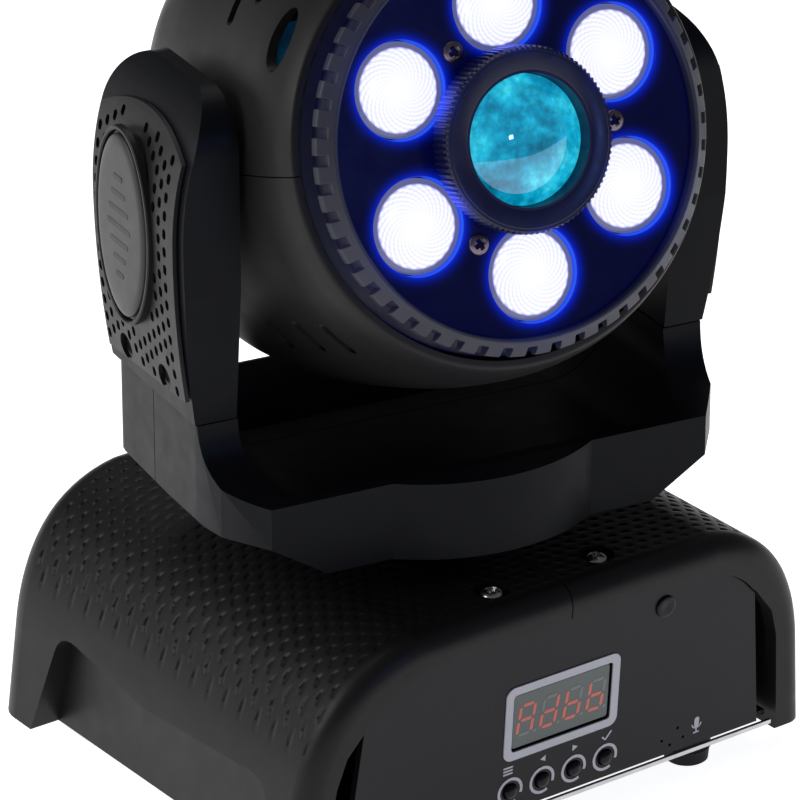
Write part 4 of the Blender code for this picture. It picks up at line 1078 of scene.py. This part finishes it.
def head_ring(y, half_w, half_h, power, points=160):
    """A superellipse across the head: power 2 is an ellipse, and more is squarer."""
    turns = 2 * np.pi * np.arange(points) / points
    c, s = np.cos(turns), np.sin(turns)
    x = half_w * np.sign(c) * np.abs(c) ** (2 / power)
    z = half_h * np.sign(s) * np.abs(s) ** (2 / power)
    return [(a, y, b) for a, b in zip(x, z)]


def head_solid(inset=0.0):
    """The head's outer form, or with an inset the cavity that is cut from it, open at the front."""
    stations = list(np.linspace(RIM_BACK, 40.0, 46)) + list(np.linspace(41.0, 50.0, 13))
    rings = []
    _, half_w, half_h, power = HEAD_SECTIONS[0]
    if not inset:
        for step in range(5):
            turn = math.pi / 2 * step / 5
            lower = RIM_EDGE * (1 - math.sin(turn)) - 0.3 * step / 5
            y = RIM_BACK - RIM_EDGE * math.cos(turn)
            rings.append(head_ring(y, half_w - lower, half_h - lower, power))
    if inset:
        rings.append(head_ring(-62.0, half_w - inset, half_h - inset, power))
    for y in stations:
        half_w, half_h, power = head_station(y)
        rings.append(head_ring(y if y < 40 else y - inset, half_w - inset, half_h - inset, power))
    return loft(rings)


def rounded_slot(x, y, z):
    """A slot cutter between (low, high) pairs, its ends round in y and z."""
    half = min(y[1] - y[0], z[1] - z[0]) / 2
    centre = ((y[0] + y[1]) / 2, (z[0] + z[1]) / 2)
    outline = rounded_box((y[1] - y[0]) / 2, (z[1] - z[0]) / 2, half * 0.96, centre, 6)
    return prism(outline, *x, "X")


def make_shells():
    slots = {"upper": [], "lower": []}
    for name, side in (("upper", 1), ("lower", -1)):
        for row in range(VENT_ROWS):
            middle = side * (4.0 + VENT_PITCH * row)
            reach = math.sqrt(VENT_R**2 - middle**2)
            outline = rounded_box(reach, SLOT_HALF, SLOT_HALF * 0.96, (0, middle))
            slots[name].append(prism(outline, 40, 60, "Y"))
    for side in (-1, 1):
        reach = tuple(sorted((side * 22.0, side * 66.0)))
        for y, low, high in UPPER_SLOTS:
            slots["upper"].append(rounded_slot(reach, (y - SLOT_HALF, y + SLOT_HALF), (low, high)))
        for y in LOWER_SLOTS:
            slots["lower"].append(rounded_slot(reach, (y - SLOT_HALF, y + SLOT_HALF), (-46.5, -37.5)))
        window = rod(1.0, *tuple(sorted((side * 40.0, side * 60.0))), "X", sides=48)
        scale = Matrix.Diagonal((1, *WINDOW_HALF, 1))
        slots["upper"].append(moved(window, scale, Matrix.Translation((0, WINDOW_Y, WINDOW_Z))))
    for name, low, high in (("upper", SPLIT_GAP / 2, 120), ("lower", -120, -SPLIT_GAP / 2)):
        shell = carve(
            head_solid(),
            ("INTERSECT", box((-120, 120), (-120, 120), (low, high))),
            ("DIFFERENCE", head_solid(HEAD_WALL)),
            ("DIFFERENCE", rod(PIN_R + 0.5, -70, 70, "X")),
            *[("DIFFERENCE", slot) for slot in slots[name]],
        )
        piece(f"head_{name}", shell, head_black, "head", TILT, f"head_{name}_shell",
              smooth=30.0)


def make_front():
    outer, inner = RING_INNER - 0.3, TUBE_R + 0.8
    flat = [(inner, LED_PLANE), (outer, LED_PLANE), (outer, LED_PLANE + 2.0), (inner, LED_PLANE + 2.0)]
    holes = [rod(LENS_HOLE_R, LED_PLANE - 5, LED_PLANE + 5, "Y", led_centre(i), 96) for i in range(6)]
    piece("front_bezel", cut(turned(flat, "Y", 192), *holes), front_black, "head", TILT, "front_plate",
          bevel=0.45, segments=4)
    shelf = LED_PLANE + 2.3
    profile = [(RING_INNER, RING_FRONT + 0.3), (RING_INNER + 0.3, RING_FRONT), (RING_INNER + 0.9, RING_FRONT),
               (RING_R - 0.5, -55.3), (RING_R, -54.6), (RING_R, -52.6), (49.0, -52.6), (49.0, -47.0),
               (52.2, -46.2), (52.2, -40.0), (46.0, -40.0), (46.0, shelf), (RING_INNER, shelf)]
    gaps = []
    for i in range(RING_TEETH):
        turn = 2 * math.pi * (i + 0.5) / RING_TEETH
        gap = box((49.4, 55.4), (-59.5, -51.5), (-1.3, 1.3))
        gaps.append(moved(gap, Matrix.Rotation(turn, 4, "Y")))
    ring = cut(turned(profile, "Y", RING_TEETH * 6), joined(gaps))
    piece("front_ring_toothed", ring, ring_grey, "head", TILT, "front_ring", bevel=0.2, segments=2)
    for turn in (0, 120, 240):
        angle = math.radians(turn)
        spot = (FRONT_SCREW_CIRCLE * math.cos(angle), LED_PLANE, FRONT_SCREW_CIRCLE * math.sin(angle))
        place = TILT @ Matrix.Translation(spot) @ Matrix.Rotation(math.radians(90), 4, "X")
        piece(f"plate_screw_{turn}", phillips(2.65, 0.9, 2.0), dark_steel, "head", place)


def lens_body(centre):
    """A lamp's collimator: a faceted front face, a rounded edge and a tapering back."""
    bm = bmesh.new()
    painted_facet_light = bm.verts.layers.float.new("relief")
    sectors, rows = 96, []
    facet_reach, lit_reach = 10.6, 10.1
    radii = [0.6 * k for k in range(1, 19)] + [LENS_R - 0.25, LENS_R]
    for k, radius in enumerate(radii):
        row = []
        for i in range(sectors):
            turn = 2 * math.pi * i / sectors
            ridge = (1 if i % 4 < 2 else -1) * (1 if k % 2 else -1)
            facet = 0.05 * ridge if radius < facet_reach else 0
            level = LED_PLANE + 1.05 + 0.9 * (radius / LENS_R) ** 4 + facet
            vert = bm.verts.new((radius * math.cos(turn), level, radius * math.sin(turn)))
            # The relief value is painted light and shade: bright on the raised facets, dimmer on the sunken
            # ones, and dark on the rim and back.
            fade = 0.25 + 0.75 * radius / LENS_R
            vert[painted_facet_light] = 0.72 - 0.3 * fade * (ridge < 0) if radius < lit_reach else 0.06
            row.append(vert)
        rows.append(row)
    for radius, along in ((LENS_R, LED_PLANE + 3.0), (LENS_R, LED_PLANE + 3.6), (5.5, LED_PLANE + 10.0)):
        rows.append([bm.verts.new((radius * math.cos(2 * math.pi * i / sectors), along,
                                   radius * math.sin(2 * math.pi * i / sectors))) for i in range(sectors)])
        for vert in rows[-1]:
            vert[painted_facet_light] = 0.0
    middle = bm.verts.new((0, LED_PLANE + 1.0, 0))
    middle[painted_facet_light] = 0.75
    for i in range(sectors):
        j = (i + 1) % sectors
        bm.faces.new((middle, rows[0][i], rows[0][j]))
        for near, far in zip(rows, rows[1:]):
            bm.faces.new((near[i], near[j], far[j], far[i]))
    bm.faces.new(rows[-1])
    return moved(bm, Matrix.Translation(centre))


def make_lamps():
    for i in range(6):
        piece(f"lamp_{i + 1}", lens_body(led_centre(i)), lamp_white, "head", TILT, f"led_lens_{i + 1}",
              smooth=60.0)
        well = [(LENS_HOLE_R - 0.1, LED_PLANE + 0.5), (LENS_HOLE_R + 1.2, LED_PLANE + 2.1),
                (LENS_HOLE_R + 1.2, LED_PLANE + 6.0), (LENS_HOLE_R - 0.1, LED_PLANE + 6.0)]
        piece(f"lamp_well_{i + 1}", turned(well, "Y", 72, led_centre(i)), well_blue, "head", TILT)


def make_focus():
    bore = GLASS_R + 0.25
    knurl, count = [], 96
    for i in range(count * 4):
        radius = FOCUS_R if i % 4 in (1, 2) else FOCUS_R - 0.55
        turn = 2 * math.pi * i / (count * 4)
        knurl.append((radius, turn))
    rings = []
    for lower, y in ((0.9, FOCUS_FRONT + 0.15), (0.25, FOCUS_FRONT + 0.7), (0.0, FOCUS_FRONT + 1.1),
                     (0.0, LED_PLANE - 0.9), (0.5, LED_PLANE - 0.35)):
        rings.append([(min(r, FOCUS_R - lower) * math.cos(t), y, min(r, FOCUS_R - lower) * math.sin(t))
                      for r, t in knurl])
    body = carve(loft(rings), ("DIFFERENCE", rod(bore, -80, -40, "Y", sides=192)))
    piece("focus_knurl", body, focus_black, "focus_ring", TILT, "focus_ring", smooth=24.0)
    collar = [(bore - 0.02, FOCUS_FRONT + 1.0), (bore + 0.6, FOCUS_FRONT + 0.2), (bore + 1.0, FOCUS_FRONT),
              (FOCUS_R - 1.6, FOCUS_FRONT), (FOCUS_R - 1.1, FOCUS_FRONT + 0.35),
              (FOCUS_R - 1.1, FOCUS_FRONT + 2), (TUBE_R, FOCUS_FRONT + 2), (TUBE_R, LED_PLANE + 8),
              (bore - 0.02, LED_PLANE + 8)]
    piece("focus_collar", turned(collar, "Y", 192), focus_black, "focus_ring", TILT)
    dome = [(0.0, 1.2)]
    for k in range(1, 15):
        radius = GLASS_R * k / 14
        dome.append((radius, 1.2 + 3.4 * (radius / GLASS_R) ** 2.2))
    dome += [(GLASS_R, 6.6), (11.5, 8.0), (0.0, 8.8)]
    dome = [(radius, along + FOCUS_FRONT) for radius, along in dome]
    piece("front_glass", turned(dome, "Y", 128), glass, "front_lens", TILT, "front_lens")


# ---- kept CAD parts -------------------------------------------------------


def finish_kept():
    finishes = {
        "base_plate": moulded("plate_steel_paint", (0.012, 0.012, 0.013), 0.5, grain=0.8, depth=0.02),
        "control_board": moulded("circuit_board", (0.01, 0.06, 0.03), 0.4, grain=1.2, depth=0.02, vary=0.4),
        "pan_belt": moulded("belt_rubber", (0.01, 0.01, 0.01), 0.75, grain=1.0, depth=0.05),
        "led_board": moulded("led_board_mask", (0.5, 0.5, 0.48), 0.4, grain=1.0, depth=0.01),
        "spot_led": moulded("spot_led_face", (0.6, 0.58, 0.3), 0.4, grain=1.0, depth=0.01),
        "fan_rotor": moulded("fan_plastic", (0.012, 0.012, 0.012), 0.45, grain=0.8, depth=0.01),
        "pan_pulley": moulded("shaft_plastic", (0.012, 0.012, 0.013), 0.45, grain=0.8, depth=0.01),
        "heat_sink": brushed("sink_aluminium", (0.5, 0.5, 0.52), 0.42),
        "power_supply": brushed("supply_metal", (0.45, 0.45, 0.46), 0.42),
    }
    motor = brushed("motor_metal", (0.38, 0.38, 0.4), 0.36)
    brass = brushed("pulley_brass", (0.55, 0.38, 0.14), 0.32)
    bearing = brushed("bearing_steel", (0.5, 0.5, 0.52), 0.3)
    wheel = brushed("wheel_glass", (0.05, 0.052, 0.055), 0.3)
    for name in ("pan_motor", "tilt_motor", "colour_wheel_motor", "pattern_wheel_motor"):
        finishes[name] = motor
    for name in ("pan_motor_pulley", "tilt_pinion"):
        finishes[name] = brass
    for name in ("pan_bearing", "tilt_pin_left", "tilt_gear"):
        finishes[name] = bearing
    for name in ("colour_wheel", "pattern_wheel"):
        finishes[name] = wheel
    for name, finish in finishes.items():
        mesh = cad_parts[name].data
        mesh.materials.clear()
        mesh.materials.append(finish)


# ---- stage ----------------------------------------------------------------

FLOOR_HALF = 60.0
CAMERA_AT = (-0.7097, -0.9595, 0.6318)
CAMERA_AIM = (0.5408, 0.7309, -0.4163)
CAMERA_LENS = 234.0


def area_light(name, at, aim, size, power, colour=(1, 1, 1)):
    light = bpy.data.lights.new(name, "AREA")
    light.shape = "RECTANGLE"
    light.size, light.size_y = size
    light.energy = power
    light.color = colour
    made = bpy.data.objects.new(name, light)
    made.location = at
    made.rotation_euler = (Vector(aim) - Vector(at)).to_track_quat("-Z", "Y").to_euler()
    bpy.context.scene.collection.objects.link(made)


def make_stage():
    lowest = cad_box[0][2]
    bm = bmesh.new()
    bmesh.ops.create_grid(bm, x_segments=2, y_segments=2, size=FLOOR_HALF)
    mesh = bpy.data.meshes.new("floor")
    moved(bm, Matrix.Translation((0, 0, lowest))).to_mesh(mesh)
    bm.free()
    floor = bpy.data.objects.new("floor", mesh)
    bpy.context.scene.collection.objects.link(floor)
    paper, tree, shader, where = bare("floor_paper", (0.9, 0.9, 0.9), 0.9,
                                      Emission_Color=(1.0, 1.0, 1.0, 1.0), Emission_Strength=0.92)
    tree.links.new(tinted(tree, noise(tree, where, 60.0), (0.88, 0.88, 0.88), (0.9, 0.9, 0.9)),
                   shader.inputs["Base Color"])
    mesh.materials.append(paper)

    world = bpy.data.worlds.new("studio")
    world.use_nodes = True
    world.node_tree.nodes["Background"].inputs["Color"].default_value = (1, 1, 1, 1)
    world.node_tree.nodes["Background"].inputs["Strength"].default_value = 0.12
    bpy.context.scene.world = world
    centre = (0, 0, 0.1)
    area_light("key", (-1.3, 0.55, 0.75), centre, (0.9, 0.9), 12.0)
    area_light("top", (0.1, 0.5, 1.5), centre, (1.2, 0.8), 7.5)
    area_light("lamp_spill", (0.05, -0.75, 0.35), (0, 0, 0.12), (0.04, 0.03), 0.4, (0.15, 0.3, 1.0))
    bpy.context.scene.view_settings.view_transform = "Standard"

    camera = bpy.data.cameras.new("camera")
    camera.lens = CAMERA_LENS
    camera.sensor_width = 36.0
    made = bpy.data.objects.new("camera", camera)
    made.location = CAMERA_AT
    made.rotation_euler = Vector(CAMERA_AIM).to_track_quat("-Z", "Y").to_euler()
    bpy.context.scene.collection.objects.link(made)
    bpy.context.scene.camera = made


make_cover("cover_left", -1)
make_cover("cover_right", 1)
make_panel()
make_print()
make_display()
make_buttons()
make_base_trim()
make_rear()
make_lower_yoke()
for arm_name, mirror in (("left", True), ("right", False)):
    make_arm(arm_name, mirror)
    make_badge(arm_name, mirror)
make_shells()
make_front()
make_lamps()
make_focus()
finish_kept()
make_stage()
